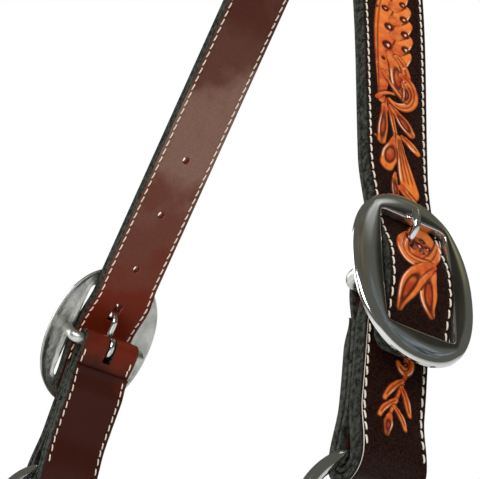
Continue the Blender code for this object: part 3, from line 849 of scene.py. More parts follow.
def thread_shape():
    """One stitch lying along X: a short rounded length of thread whose ends go down into the leather.

    Its faces are sorted, because the sphere's own order differs from run to run.
    """
    sphere = bpy.ops.mesh.primitive_uv_sphere_add
    obj = added(sphere, segments=8, ring_count=8, radius=1, rotation=(0, math.pi / 2, 0))
    bpy.ops.object.transform_apply(location=False, rotation=True, scale=False)
    spots = values_of(obj.data.vertices, "co", 3, float).reshape(-1, 3)
    share = spots[:, 0].copy()
    fat = np.sqrt(np.clip(1 - share**2, 0, 1))
    fuller = np.clip(fat * THREAD_FULLNESS, 0, 1)
    scale = np.where(fat > 0.01, fuller / np.maximum(fat, 0.01), 0)
    spots[:, 0] = share * STITCH_LENGTH / 2
    spots[:, 1] *= scale * THREAD_RADIUS
    spots[:, 2] = spots[:, 2] * scale * THREAD_RADIUS + THREAD_LIFT - THREAD_DIP * share**4
    faces = sorted(list(face.vertices) for face in obj.data.polygons)
    bpy.data.objects.remove(obj)
    return spots, faces


THREAD_SPOTS, THREAD_FACES = thread_shape()


def seam(ply, start, end, front=True, slant=1, skive=False):
    """Two rows of stitches, one beside each edge of the ply."""
    return ply, start, end, front, slant, skive


def stitch_places(ply, start, end, across, front, skive):
    """The stitches of one row: their middles, and the directions along, across and out."""
    count = round((end - start) / STITCH_PITCH)
    along = start + (end - start) * (np.arange(count) + 0.5) / count
    level = np.full(count, ply.high if front else ply.low)
    if skive:
        level = ply.low + (level - ply.low) * skived(ply, along)
    place = np.full(count, across)
    reach = STITCH_LENGTH / 4
    middle = ply.spots(along, place, level)
    run = ply.spots(along + reach, place, level) - ply.spots(along - reach, place, level)
    over = ply.spots(along, place + reach, level) - ply.spots(along, place - reach, level)
    run /= np.linalg.norm(run, axis=1, keepdims=True)
    out = np.cross(run, over)
    out /= np.linalg.norm(out, axis=1, keepdims=True)
    lifted = ply.spots(along, place, level + (reach if front else -reach)) - middle
    out *= np.sign((out * lifted).sum(axis=1, keepdims=True))
    return middle, run, np.cross(out, run), out


def sew(name, seams, body):
    """All the stitches of one body's straps as one piece."""
    spots = []
    for ply, start, end, front, slant, skive in seams:
        for side in (-1, 1):
            across = side * (ply.width / 2 - STITCH_INSET)
            middle, run, over, out = stitch_places(ply, start, end, across, front, skive)
            turn = math.radians(THREAD_SLANT * slant)
            ahead = run * math.cos(turn) + over * math.sin(turn)
            aside = over * math.cos(turn) - run * math.sin(turn)
            for i in range(len(middle)):
                axes = np.stack([ahead[i], aside[i], out[i]])
                spots.append(middle[i] + THREAD_SPOTS @ axes)
    size = len(THREAD_SPOTS)
    faces = [[v + size * i for v in face] for i in range(len(spots)) for face in THREAD_FACES]
    mesh = bpy.data.meshes.new(name)
    mesh.from_pydata(np.vstack(spots), [], faces)
    mesh.shade_smooth()
    mesh.materials.append(thread)
    obj = add_object(name, mesh)
    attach(obj, body)


def cut_with(obj, cutter):
    """Cuts the cutter's shape out of a piece, and removes the cutter."""
    spread_to_corners(obj)
    change = obj.modifiers.new("Cut", "BOOLEAN")
    change.operation = "DIFFERENCE"
    change.object = cutter
    change.solver = "EXACT"
    change.material_mode = "TRANSFER"
    activate(obj)
    bpy.ops.object.modifier_apply(modifier=change.name)
    bpy.data.objects.remove(cutter)


def spread_to_corners(obj):
    """Moves the carving's values from the points to the face corners, so that they last through a cut."""
    mesh = obj.data
    layer = mesh.attributes["carving"]
    if layer.domain == "CORNER":
        return
    values = values_of(layer.data, "color", 4)
    corners = values_of(mesh.loops, "vertex_index", 1, np.int32)
    mesh.attributes.remove(layer)
    layer = mesh.attributes.new("carving", "FLOAT_COLOR", "CORNER")
    layer.data.foreach_set("color", values.reshape(-1, 4)[corners].ravel())


def buckle_matrix(side):
    """The buckle's own frame: X across the strap, Y up the crown's leg and Z out, from the bar's middle."""
    along = UP_CROWN * COS_LEAN - ACROSS * (side * SIN_LEAN)
    out = UP_CROWN * SIN_LEAN + ACROSS * (side * COS_LEAN)
    matrix = Matrix((BACK_CROWN * side, along, out)).transposed().to_4x4()
    matrix.translation = UP_CROWN * BAR_HEIGHT + ACROSS * (side * BAR_SPREAD)
    return matrix


def joined(objects):
    activate(objects[0])
    for obj in objects[1:]:
        obj.select_set(True)
    bpy.ops.object.join()
    return objects[0]


def punches(side, start):
    """The spare holes, and the tongue's slot from start upwards, as one cutter."""
    depth = CROWN_BACK_DEPTH + CROWN_FRONT_DEPTH + 2 * CUT_OVERRUN + BUCKLE_BULGE
    middle = BAR_TO_CROWN + (CROWN_FRONT_DEPTH - CROWN_BACK_DEPTH + BUCKLE_BULGE) / 2
    cutters = []
    spare = SPARE_HOLES if side < 0 else 0
    for i in range(1, spare + 1):
        place = (0, HOLE_MIDDLE + HOLE_PITCH * i, middle)
        radius = HOLE_BORE * HOLE_CLOSING / 2
        punch = bpy.ops.mesh.primitive_cylinder_add
        cutters.append(added(punch, vertices=HOLE_SIDES, radius=radius, depth=depth, location=place))
    place = (0, (start + TONGUE_HOLE_END) / 2, middle)
    slot = added(bpy.ops.mesh.primitive_cube_add, size=1, location=place)
    slot.scale = (TONGUE_HOLE_WIDTH, TONGUE_HOLE_END - start, depth)
    cutters.append(slot)
    cutter = joined(cutters)
    bpy.ops.object.transform_apply(location=True, rotation=True, scale=True)
    cutter.data.transform(buckle_matrix(side))
    cutter.data.materials.clear()
    cutter.data.materials.append(bare)
    return cutter


def make_crown():
    leg = CROWN_LEG + CROWN_TAIL
    bend = 90 - CROWN_SIDE_LEAN
    arc = POLL_RADIUS * math.radians(bend)
    start = (-LEG_SPREAD - CROWN_TAIL * SIN_LEAN, LEG_DEPTH - CROWN_TAIL * COS_LEAN)
    route = Route(start, bend, [(leg, 0), (arc, -bend), (POLL_FLAT, 0), (arc, -bend), (leg, 0)])
    fold = Fold(route, PINCH, PINCH)
    plane = Plane(Vector(), ACROSS, UP_CROWN, BACK_CROWN)
    outer = Ply(plane, [fold.leg(1, 0, route.length)], 0, OUTER_PLY, STRAP_WIDTH, lay=crown_lay)
    lining = Ply(plane, [fold.leg(-1, 0, route.length)], -LINING_PLY, 0, STRAP_WIDTH, lay=crown_lay)
    near = outer.length - leg - arc
    coarse = np.arange(0, near, 2 * FINE_STEP)
    fine = np.arange(near, outer.length, FINE_STEP)
    stations = np.concatenate([coarse, fine, [outer.length]])
    skin = lay_strap(
        "crown_leather", outer, tooled, CROWN_COUNTS, stations=stations, carve=crown_carving, pointed=True
    )
    under = lay_strap("crown_lining_leather", lining, lined, CROWN_LINING_COUNTS, BACK_EDGES, pointed=True)
    for side in (-1, 1):
        cut_with(skin, punches(side, OUTER_HOLE_START))
        cut_with(under, punches(side, LINING_HOLE_START))
    dress(skin, "crown_outer", "crown")
    dress(under, "crown_lining", "crown")
    gap = BILLET_POINT + STITCH_INSET
    return [seam(outer, gap, outer.length - gap), seam(lining, gap, lining.length - gap, False, -1)]


def make_tab(side, suffix):
    route = Route((BAR_SPREAD, BAR_HEIGHT), -90 + TAB_SIDE_LEAN, [(TAB_LENGTH, 0)])
    fold = Fold(route, BAR_EYE, RING_EYE)
    plane = Plane(Vector(), ACROSS * side, UP_CROWN, BACK_CROWN)
    pulls = (None, -UP_CROWN)
    legs = fold.wrapped(TAB_LINING_JOINT, TAB_LINING_JOINT + BUTT_GAP)
    inner = Ply(plane, legs, 0, LINING_PLY, STRAP_WIDTH, pulls)
    start = LINING_PLY + FIT
    legs = [fold.leg(1, TAB_OUTER_START, TAB_LENGTH), fold.eye(1), fold.leg(-1, TAB_LENGTH, TAB_OUTER_START)]
    cover = Ply(plane, legs, start, start + OUTER_PLY, STRAP_WIDTH, pulls)

    def carve(along, across, _):
        carving = Carving(along + TAB_OUTER_START, across)
        carving.group(SPRIG, SPRIG_EYES)
        return carving

    # The near tab gets the painted highlight line along its front edge.
    look = {"stations": cover.stations(FINE_STEP), "carve": carve, "skive": True, "lit": side > 0}
    skin = lay_strap("tab_leather_" + suffix, cover, tooled, TAB_COUNTS, **look)
    under = lay_strap("tab_lining_leather_" + suffix, inner, lined, TAB_LINING_COUNTS)
    reach = HOOK_RADIUS + TONGUE_RADIUS + 2 * FIT
    slot = added(bpy.ops.mesh.primitive_cube_add, size=1)
    slot.scale = (TONGUE_SLOT_WIDTH, 2 * reach, 2 * reach)
    bpy.ops.object.transform_apply(location=True, rotation=True, scale=True)
    slot.data.transform(buckle_matrix(side))
    cut_with(under, slot)
    dress(skin, "tab_outer_" + suffix, "crown")
    dress(under, "tab_lining_" + suffix, "crown")
    flat = TAB_LENGTH - TAB_OUTER_START
    skived_start = cover.length - flat + RING_EYE
    joint = TAB_LINING_JOINT - TAB_OUTER_START
    return [
        seam(cover, ROW_MARGIN, flat),
        seam(cover, skived_start, cover.length - STITCH_PITCH / 2, skive=True),
        seam(inner, joint + STITCH_PITCH / 4, TAB_LINING_JOINT - BAR_EYE),
    ]


def rounded(angle, half_width, half_height, power):
    """The distance from the middle to a rounded rectangle's edge, in this direction."""
    across = np.abs(np.cos(angle) / half_width) ** power
    up = np.abs(np.sin(angle) / half_height) ** power
    return (across + up) ** (-1 / power)


def plate_section():
    """The plate's section from its outer back corner over the dome, through the window and back behind.

    A point is its share of the way out from the window to the outline, and its height. Also gives the number
    of the first point behind.
    """
    points = [(1.0, PLATE_FOOT / 2)]
    for turn in np.linspace(math.pi / 2, 0, DOME_STEPS):
        away = math.sin(turn) ** DOME_SPACING
        rise = (PLATE_CREST - PLATE_SIDE) * math.sqrt(1 - away**DOME_POWER)
        points.append((PLATE_CREST_SHARE + (1 - PLATE_CREST_SHARE) * away, PLATE_SIDE + rise))
    for step in np.linspace(0, 1, WELL_STEPS)[1:]:
        fall = (PLATE_CREST - WINDOW_RIM) * step**2
        points.append((PLATE_CREST_SHARE + (WINDOW_CORNER - PLATE_CREST_SHARE) * step, PLATE_CREST - fall))
    points += [(share, WINDOW_RIM - fall) for share, fall in RIM_ROUNDING]
    starts = len(points) - 1
    points += [(0.0, PLATE_FOOT), (BACK_RIM, 0.0), (BACK_LEDGE, 0.0), (BACK_LEDGE + 0.02, PLATE_FOOT)]
    for step in np.linspace(0, 1, RECESS_STEPS):
        depth = BACK_FLOOR * (1 - (2 * step - 1) ** 6)
        share = BACK_LEDGE + RECESS_INSET + (RECESS_END - BACK_LEDGE) * step
        points.append((share, PLATE_FOOT + depth))
    points += [(share, 0.0) for share in OUTER_LEDGE]
    return np.array(points), starts


def window_angles():
    """Directions from the plate's middle to even points round the window, with one at each corner."""
    wide = math.ceil(PLATE_STEPS / 4 * WINDOW_WIDTH / (WINDOW_WIDTH + WINDOW_HEIGHT)) * 2
    tall = PLATE_STEPS // 2 - wide
    x, y = WINDOW_WIDTH / 2, WINDOW_HEIGHT / 2
    right = [math.atan2(-y + 2 * y * i / tall, x) for i in range(tall)]
    top = [math.atan2(y, x - 2 * x * i / wide) for i in range(wide)]
    half = right + top
    return np.array(half + [angle + math.pi for angle in half])


def make_buckle_frame(side, suffix):
    """The domed and polished plate with its recessed cast back, and the bar on its posts."""
    section, back_starts = plate_section()
    torus = bpy.ops.mesh.primitive_torus_add
    plate = added(torus, major_segments=PLATE_STEPS, minor_segments=len(section))
    angle = np.repeat(window_angles(), len(section))
    share = np.tile(section[:, 0], PLATE_STEPS)
    height = np.tile(section[:, 1], PLATE_STEPS)
    outer = rounded(angle, BUCKLE_WIDTH / 2, BUCKLE_HEIGHT / 2, OUTLINE_POWER)
    inner = rounded(angle, WINDOW_WIDTH / 2, WINDOW_HEIGHT / 2, WINDOW_POWER)
    reach = inner + (outer - inner) * share
    spots = np.column_stack([reach * np.cos(angle), reach * np.sin(angle), BAR_TO_PLATE + height])
    plate.data.vertices.foreach_set("co", spots.ravel())
    plate.data.materials.append(polished)
    plate.data.materials.append(cast)
    give_second_finish(plate.data, np.tile(np.arange(len(section)) >= back_starts, PLATE_STEPS))
    face_outward(plate, weld=False)
    half = POST_SPACING / 2
    top = BAR_TO_PLATE + PLATE_CREST / 2
    turns = [math.radians(a) for a in range(0, 91, ELBOW_STEP)]
    elbow = [(half - POST_BEND * (1 - math.sin(a)), 0, POST_BEND * (1 - math.cos(a))) for a in turns]
    path = [(half, 0, top), *elbow[::-1], *[(-x, y, z) for x, y, z in elbow], (-half, 0, top)]
    plate = joined([plate, wire("bar_" + suffix, path, [BAR_RADIUS] * len(path), cast)])
    plate.name = "buckle_plate_" + suffix
    plate.data.name = plate.name
    plate.data.transform(buckle_matrix(side))
    shade(plate, 50)
    dress(plate, "buckle_frame_" + suffix, "crown")


def wire(name, points, radii, finish):
    """A smooth round bar along these points, as a mesh."""
    curve = bpy.data.curves.new(name, "CURVE")
    curve.dimensions = "3D"
    curve.bevel_depth = 1
    curve.bevel_resolution = 6
    curve.use_fill_caps = True
    spline = curve.splines.new("POLY")
    spline.points.add(len(points) - 1)
    for place, point, radius in zip(spline.points, points, radii):
        place.co = (*point, 1)
        place.radius = radius
    obj = add_object(name, curve)
    activate(obj)
    bpy.ops.object.convert(target="MESH")
    face_outward(obj)
    obj.data.materials.clear()
    obj.data.materials.append(finish)
    return obj


def make_tongue(side, suffix):
    """A wire hooked round the bar, rising through the strap and lying on the plate's top rail."""
    points = []
    for i in range(HOOK_STEPS + 1):
        angle = math.radians(90 + HOOK_WRAP * (1 - i / HOOK_STEPS))
        points.append((0, HOOK_RADIUS * math.cos(angle), HOOK_RADIUS * math.sin(angle)))
    rise = BAR_TO_PLATE + PLATE_CREST + FIT + TONGUE_RADIUS - HOOK_RADIUS
    ups, outs = zip(*TONGUE_RISE_SHARES)
    marks = np.linspace(0, 1, TONGUE_MARKS)
    for share in np.linspace(TONGUE_START, 1, TONGUE_STEPS):
        near = np.exp(-(((marks - share) / TONGUE_EASE) ** 2))
        height = (np.interp(marks, ups, outs) * near).sum() / near.sum()
        points.append((0, TONGUE_REACH * share, HOOK_RADIUS + rise * height))
    run = np.array([TONGUE_REACH - point[1] for point in points])
    fullness = np.sqrt(1 - (1 - np.clip(run / TONGUE_TIP, 0, 1)) ** 2)
    radii = TONGUE_RADIUS * (TONGUE_TIP_SHARE + (1 - TONGUE_TIP_SHARE) * fullness)
    tongue = wire("tongue_" + suffix, points, radii, polished)
    tongue.data.transform(buckle_matrix(side))
    shade(tongue, 60)
    dress(tongue, "buckle_tongue_" + suffix, "tongue_" + suffix)


def make_ring(name, centre, rotation):
    ring = added(
        bpy.ops.mesh.primitive_torus_add,
        major_radius=RING_RADIUS,
        minor_radius=WIRE_RADIUS,
        major_segments=RING_STEPS,
        minor_segments=WIRE_SIDES,
        location=centre,
        rotation=rotation,
    )
    ring.name = name + "_wire"
    bpy.ops.object.transform_apply(location=True, rotation=True, scale=True)
    ring.data.materials.append(polished)
    ring.data.shade_smooth()
    dress(ring, name, name)


def bow_route(spread, reach, radius):
    """A bow from the off ring, out to reach and back to the near ring."""
    side = reach - RING_RADIUS - radius
    bend = (radius * math.pi / 2, -90)
    middle = 2 * (spread - radius)
    return Route((-spread, RING_RADIUS), 90, [(side, 0), bend, (middle, 0), bend, (side, 0)])


def make_lined(kind, suffix, body, fold, plane, lap, pulls, carve):
    """A tooled strap folded back behind at both ends, with a lining between its laps."""
    length = fold.route.length
    cover = Ply(plane, fold.wrapped(lap, length - lap), 0, OUTER_PLY, STRAP_WIDTH, pulls)
    between = [fold.leg(-1, lap + BUTT_GAP, length - lap - BUTT_GAP)]
    inner = Ply(plane, between, -LINING_PLY, 0, STRAP_WIDTH)
    look = {"stations": cover.stations(2 * FINE_STEP), "carve": carve}
    skin = lay_strap(kind + "_leather" + suffix, cover, tooled, COVER_COUNTS, **look)
    under = lay_strap(kind + "_lining_leather" + suffix, inner, lined, LINING_COUNTS, BACK_EDGES)
    dress(skin, kind + "_outer" + suffix, body)
    dress(under, kind + "_lining" + suffix, body)
    fold_away = (cover.length - length) / 2 + FADE / 2
    return [
        seam(cover, fold_away, cover.length - fold_away),
        seam(cover, ROW_MARGIN, lap - FADE / 2),
        seam(cover, cover.length - lap + FADE / 2, cover.length - ROW_MARGIN),
        seam(inner, ROW_MARGIN, inner.length - ROW_MARGIN, False),
    ]


def make_cheek(side, suffix):
    up = side_direction(CHEEK_DIRECTION - 180)
    run = CHEEK_PITCH - 2 * RING_RADIUS
    narrowing = LOWER_HALF_SPREAD - UPPER_SPREAD
    length = math.hypot(run, narrowing)
    heading = math.degrees(math.atan2(-run, narrowing))
    fold = Fold(Route((UPPER_SPREAD, -RING_RADIUS), heading, [(length, 0)]), RING_EYE, RING_EYE)
    plane = Plane(UPPER_AXIS, ACROSS * side, up, side_direction(CHEEK_DIRECTION - 90))

    def carve(along, across, total):
        carving = Carving(along - (total - length) / 2, across)
        middle = length / 2 / MM
        for face in (1, -1):
            carving.group(LONG_LEAF, LEAF_EYES, middle - face * LEAF_TIP, -face, face)
            carving.group(FAN, (), middle - face * FAN_FOOT, -face, face)
        carving.rosette(middle)
        return carving

    return make_lined("cheek", "_" + suffix, "cheeks", fold, plane, CHEEK_LAP, (up, -up), carve)


def make_noseband():
    ahead = side_direction(NOSE_DIRECTION)
    route = bow_route(LOWER_HALF_SPREAD, NOSE_REACH, NOSE_RADIUS)
    fold = Fold(route, RING_EYE, RING_EYE)
    plane = Plane(LOWER_AXIS, ACROSS, ahead, side_direction(NOSE_DIRECTION + 90))

    def carve(along, across, total):
        place = np.minimum(along, total - along) - (total - route.length) / 2
        carving = Carving(place, across)
        middle = route.length / 2 / MM
        carving.group(LONG_LEAF, LEAF_EYES, middle - LEAF_TIP)
        carving.group(FAN, (), middle - LEAF_TIP)
        carving.group(SCROLLS, (), middle - LEAF_TIP)
        carving.rosette(middle)
        return carving

    return make_lined("noseband", "", "noseband", fold, plane, NOSE_LAP, (-ahead, -ahead), carve)


def make_narrow(kind, suffix, body, plane, legs, pulls):
    ply = Ply(plane, legs, 0, NARROW_PLY, NARROW_WIDTH, pulls)
    piece = lay_strap(kind + "_leather" + suffix, ply, dark, NARROW_COUNTS)
    dress(piece, kind + "_strap" + suffix, body)
    return ply


def make_throat():
    down = THROAT_LINK.normalized()
    reach = THROAT_LINK.length - PINCH - NARROW_PLY / 2
    fold = Fold(bow_route(UPPER_SPREAD, reach, THROAT_RADIUS), RING_EYE, RING_EYE)
    plane = Plane(UPPER_AXIS, ACROSS, down, down.cross(ACROSS))
    end = fold.route.length
    legs = fold.wrapped(THROAT_LAP, end - THROAT_LAP)
    ply = make_narrow("throat", "", "throat", plane, legs, (-down, -down))
    front = (ply.length - end) / 2
    lap = THROAT_LAP - FADE / 2
    return [
        seam(ply, ROW_MARGIN, lap),
        seam(ply, ply.length - lap, ply.length - ROW_MARGIN),
        seam(ply, front + FADE / 2, front + THROAT_LAP),
        seam(ply, ply.length - front - THROAT_LAP, ply.length - front - FADE / 2),
    ]


def make_chin_strap(side, suffix):
    back = side_direction(CHIN_DIRECTION)
    across = LOWER_HALF_SPREAD - RING_RADIUS
    down = RING_RADIUS - CHIN_REACH
    length = math.hypot(across, down)
    route = Route((RING_RADIUS, CHIN_REACH), math.degrees(math.atan2(down, across)), [(length, 0)])
    plane = Plane(LOWER_AXIS, ACROSS * side, back, side_direction(CHIN_DIRECTION - 90))
    legs = Fold(route, RING_EYE, RING_EYE).wrapped(CHIN_JOINT, CHIN_JOINT + BUTT_GAP)
    ply = make_narrow("chin", "_" + suffix, "chin", plane, legs, (-ACROSS * side, -back))
    front = CHIN_JOINT + math.pi * RING_EYE
    return [seam(ply, front + FADE / 2, front + length - FADE / 2)]


def make_jaw_strap():
    up = side_direction(CHEEK_DIRECTION - 180)
    top = CHEEK_PITCH + NARROW_WIDTH / 2 - JAW_LOOP_END_INSET
    fold = Fold(Route((0, 0), 90, [(top, 0)]), RING_EYE, JAW_LOOP_HALF_GAP, NARROW_WIDTH)
    plane = Plane(JAW_AXIS, side_direction(CHEEK_DIRECTION - 90), up, ACROSS)
    pulls = (-side_direction(CHIN_DIRECTION - 90), None)
    ply = make_narrow("jaw", "", "jaw", plane, fold.wrapped(JAW_JOINT, JAW_JOINT + BUTT_GAP), pulls)
    front = JAW_JOINT + math.pi * RING_EYE
    return [seam(ply, front + FADE / 2, front + top - NARROW_WIDTH - TAPER)]


class Nodes:
    """A node tree with short ways to add to it."""

    def __init__(self, tree):
        self.tree = tree

    def node(self, kind, inputs=(), **settings):
        node = self.tree.nodes.new("ShaderNode" + kind)
        for name, value in settings.items():
            setattr(node, name, value)
        for socket, value in inputs:
            if hasattr(value, "node"):
                self.tree.links.new(value, node.inputs[socket])
            else:
                node.inputs[socket].default_value = value
        return node

    def sum(self, operation, first, second=0.0):
        return self.node("Math", [(0, first), (1, second)], operation=operation).outputs[0]

    def ramp(self, value, low, high, start=0.0, end=1.0):
        """The value carried smoothly from low..high to start..end."""
        inputs = [(0, value), (1, low), (2, high), (3, start), (4, end)]
        return self.node("MapRange", inputs, interpolation_type="SMOOTHSTEP").outputs[0]

    def mix(self, share, first, second):
        return self.node("Mix", [(0, share), (6, first), (7, second)], data_type="RGBA").outputs[2]

    def spot(self):
        return self.node("TexCoord").outputs["Object"]

    def noise(self, scale, detail=2.0, roughness=0.5):
        inputs = [("Vector", self.spot()), ("Scale", scale), ("Detail", detail), ("Roughness", roughness)]
        return self.node("TexNoise", inputs).outputs[0]


class Finish(Nodes):
    """A material."""

    def __init__(self, name):
        self.material = bpy.data.materials.new(name)
        self.material.use_nodes = True
        super().__init__(self.material.node_tree)
        self.shader = self.tree.nodes["Principled BSDF"]

    def set(self, **values):
        for name, value in values.items():
            self.shader.inputs[name.replace("_", " ")].default_value = value

    def link(self, value, socket):
        self.tree.links.new(value, self.shader.inputs[socket])

    def bump(self, height, strength, distance):
        node = self.node("Bump", [("Height", height), ("Strength", strength), ("Distance", distance)])
        self.link(node.outputs[0], "Normal")

    def carving(self):
        """What the leather's mesh carries: motif, line and tone as a colour, and the edge's share."""
        return self.node("Attribute", attribute_name="carving").outputs

    def tone_edge(self, colour, share):
        """The base colour, and over it the edges' greenish black dye, waxed unevenly."""
        wax = self.ramp(self.noise(620, 2.0, 0.6), 0.3, 0.7)
        edge = self.mix(wax, screen(26, 28, 25), screen(66, 68, 62))
        self.link(self.mix(share, colour, edge), "Base Color")

    def two_tone(self, share, first, second):
        """The base colour, between two colours written as on screen."""
        self.link(self.mix(share, screen(*first), screen(*second)), "Base Color")

    def smooth_leather(self, colour, cloud, fine, grain, roughness, shine):
        """Leather without carving: this colour, with clouded wax and a fine grain."""
        edge_share = self.ramp(self.carving()["Alpha"], 0.2, 0.7)
        self.tone_edge(colour, edge_share)
        self.bump(fine, grain, 0.0002)
        self.link(self.ramp(cloud, 0.3, 0.7, *roughness), "Roughness")
        self.link(self.ramp(edge_share, 0.0, 1.0, shine, 0.02), "Specular IOR Level")


def screen(red, green, blue):
    """A colour written as it looks on screen, from 0 to 255."""
    linear = []
    for value in (red, green, blue):
        share = value / 255
        linear.append(share / 12.92 if share <= 0.04045 else ((share + 0.055) / 1.055) ** 2.4)
    return (*linear, 1.0)


def tooled_finish():
    finish = Finish("tooled_leather_finish")
    carving = finish.carving()
    motif, line, tone = finish.node("SeparateColor", [(0, carving["Color"])]).outputs
    mottle = finish.noise(300, 3.0)
    fine = finish.noise(1500, 2.0)
    inside = finish.ramp(motif, -0.08, 0.14)
    crease = finish.ramp(line, 0.06, 0.7, 1.0, 0.0)
    warm = finish.mix(finish.ramp(tone, 0.0, 0.8), screen(204, 74, 20), screen(240, 118, 36))
    layers = (
        (finish.ramp(mottle, 0.4, 0.68, 0.0, 0.6), screen(248, 146, 60)),
        (finish.ramp(tone, -0.7, -0.15, 0.42, 0.0), screen(138, 32, 12)),
        (finish.sum("MULTIPLY", crease, 0.92), screen(74, 16, 9)),
        (finish.ramp(tone, -1.7, -1.0, 0.9, 0.0), screen(58, 16, 12)),
        # Painted highlights: glints and bead tops in pale peach, and the line along a lit edge in pale grey.
        (finish.ramp(tone, 1.1, 1.9), screen(246, 204, 176)),
        (finish.ramp(tone, 2.3, 2.8), screen(222, 222, 212)),
    )
    for share, dye in layers:
        warm = finish.mix(share, warm, dye)
    ground = finish.mix(finish.ramp(fine, 0.35, 0.65), screen(20, 9, 6), screen(48, 23, 16))
    edge_share = finish.ramp(carving["Alpha"], 0.15, 0.6)
    finish.tone_edge(finish.mix(inside, ground, warm), edge_share)
    cells = finish.node("TexVoronoi", [("Vector", finish.spot()), ("Scale", 1250)]).outputs["Distance"]
    stipple = finish.sum("MULTIPLY", cells, finish.sum("SUBTRACT", 1.0, inside))
    grain = finish.sum("MULTIPLY", fine, 0.25)
    finish.bump(finish.sum("ADD", stipple, grain), 0.5, 0.0003)
    finish.link(finish.ramp(inside, 0.0, 1.0, 0.48, 0.3), "Roughness")
    shine = finish.ramp(inside, 0.0, 1.0, 0.10, 0.35)
    finish.link(finish.sum("MULTIPLY", shine, finish.sum("SUBTRACT", 1.0, edge_share)), "Specular IOR Level")
    return finish.material


def lining_finish():
    """The lining: paler half way up, where a sheen is painted, and darker towards the buckle and the poll.
    """
    finish = Finish("lining_leather_finish")
    cloud = finish.noise(42, 3.0, 0.55)
    fine = finish.noise(1100, 3.0)
    height = finish.node("SeparateXYZ", [(0, finish.spot())]).outputs["Z"]
    height = finish.sum("ADD", height, finish.ramp(cloud, 0.3, 0.7, -0.012, 0.012))
    colour = finish.mix(finish.ramp(height, -0.182, -0.158), screen(62, 22, 12), screen(112, 34, 12))
    layers = (
        (finish.ramp(height, -0.145, -0.115), screen(112, 62, 48)),
        # Painted sheen: this pale greyish band half way up stands for gloss catching the light.
        (finish.ramp(height, -0.105, -0.08), screen(140, 104, 90)),
        (finish.ramp(height, -0.07, -0.045), screen(100, 60, 47)),
        (finish.ramp(height, -0.04, -0.015), screen(84, 38, 26)),
        (finish.ramp(fine, 0.3, 0.75, 0.0, 0.2), screen(52, 18, 10)),
    )
    for share, dye in layers:
        colour = finish.mix(share, colour, dye)
    finish.smooth_leather(colour, cloud, fine, 0.12, (0.4, 0.3), 0.18)
    return finish.material


def dark_finish():
    finish = Finish("dark_leather_finish")
    cloud = finish.noise(45, 3.0)
    colour = finish.mix(finish.ramp(cloud, 0.35, 0.68), screen(36, 17, 14), screen(56, 26, 19))
    finish.smooth_leather(colour, cloud, finish.noise(1100, 3.0), 0.15, (0.46, 0.36), 0.25)
    return finish.material


def bare_finish():
    finish = Finish("cut_leather_finish")
    finish.two_tone(finish.ramp(finish.noise(1400, 2.0), 0.3, 0.7), (132, 58, 44), (186, 104, 84))
    finish.set(Roughness=0.8, Specular_IOR_Level=0.1)
    return finish.material


def thread_finish():
    finish = Finish("waxed_thread_finish")
    fine = finish.noise(2200, 2.0)
    finish.two_tone(finish.ramp(fine, 0.3, 0.7), (214, 200, 178), (244, 236, 222))
    finish.bump(fine, 0.3, 0.0002)
    finish.set(Roughness=0.6, Specular_IOR_Level=0.25)
    return finish.material


def polished_finish():
    finish = Finish("polished_steel_finish")
    cloud = finish.noise(70, 3.0)
    finish.two_tone(cloud, (218, 218, 214), (234, 234, 232))
    finish.link(finish.ramp(cloud, 0.3, 0.7, 0.08, 0.13), "Roughness")
    finish.set(Metallic=1.0)
    return finish.material


def cast_finish():
    finish = Finish("cast_steel_finish")
    lumps = finish.noise(380, 3.0, 0.6)
    finish.two_tone(finish.ramp(finish.noise(120, 2.0), 0.3, 0.7), (182, 184, 178), (226, 228, 222))
    finish.bump(lumps, 0.45, 0.0006)
    finish.link(finish.ramp(lumps, 0.3, 0.7, 0.3, 0.44), "Roughness")
    finish.set(Metallic=1.0)
    return finish.material


tooled = tooled_finish()
lined = lining_finish()
dark = dark_finish()
bare = bare_finish()
thread = thread_finish()
polished = polished_finish()
cast = cast_finish()

crown_seams = make_crown()
cheek_seams = []
chin_seams = []
upright = (0, math.pi / 2, 0)
for side, suffix in ((1, "near"), (-1, "off")):
    make_buckle_frame(side, suffix)
    make_tongue(side, suffix)
    crown_seams += make_tab(side, suffix)
    cheek_seams += make_cheek(side, suffix)
    chin_seams += make_chin_strap(side, suffix)
    make_ring("upper_ring_" + suffix, UPPER_AXIS + ACROSS * (side * UPPER_SPREAD), upright)
    make_ring("lower_ring_" + suffix, LOWER_AXIS + ACROSS * (side * LOWER_HALF_SPREAD), upright)
make_ring("chin_ring", CHIN_RING_CENTRE, (-math.radians(CHIN_DIRECTION), 0, 0))
sew("crown_stitches", crown_seams, "crown")
sew("cheek_stitches", cheek_seams, "cheeks")
sew("noseband_stitches", make_noseband(), "noseband")
sew("throat_stitches", make_throat(), "throat")
sew("chin_stitches", chin_seams, "chin")
sew("jaw_stitches", make_jaw_strap(), "jaw")

# Studio
FLOOR_HEIGHT = -0.56
FLOOR_SIZE = 12.0
PALE = (0.80, 0.80, 0.80, 1.0)
WHITE = (1.0, 1.0, 1.0, 1.0)
AMBIENT = (0.55, 0.55, 0.55, 1.0)
REFLECTED_TONE = screen(92, 92, 87)
CARD_FADE = (0.3, 0.49)

floor = added(bpy.ops.mesh.primitive_plane_add, size=FLOOR_SIZE, location=(0, 0, FLOOR_HEIGHT))
floor.name = "floor"
floor_finish = Finish("pale_floor_finish")
floor_finish.set(Base_Color=PALE, Roughness=0.9)
floor.data.materials.append(floor_finish.material)


def studio_world():
    """White to the camera, dark grey in reflections, and a soft even light on the leather."""
    world = bpy.data.worlds.new("studio")
    world.use_nodes = True
    sky = Nodes(world.node_tree)
    rays = sky.node("LightPath").outputs
    shown = sky.sum("MAXIMUM", rays["Is Camera Ray"], rays["Is Transmission Ray"])
    tone = sky.mix(rays["Is Glossy Ray"], AMBIENT, REFLECTED_TONE)
    back = sky.tree.nodes["Background"]
    sky.tree.links.new(sky.mix(shown, tone, WHITE), back.inputs["Color"])
    bpy.context.scene.world = world


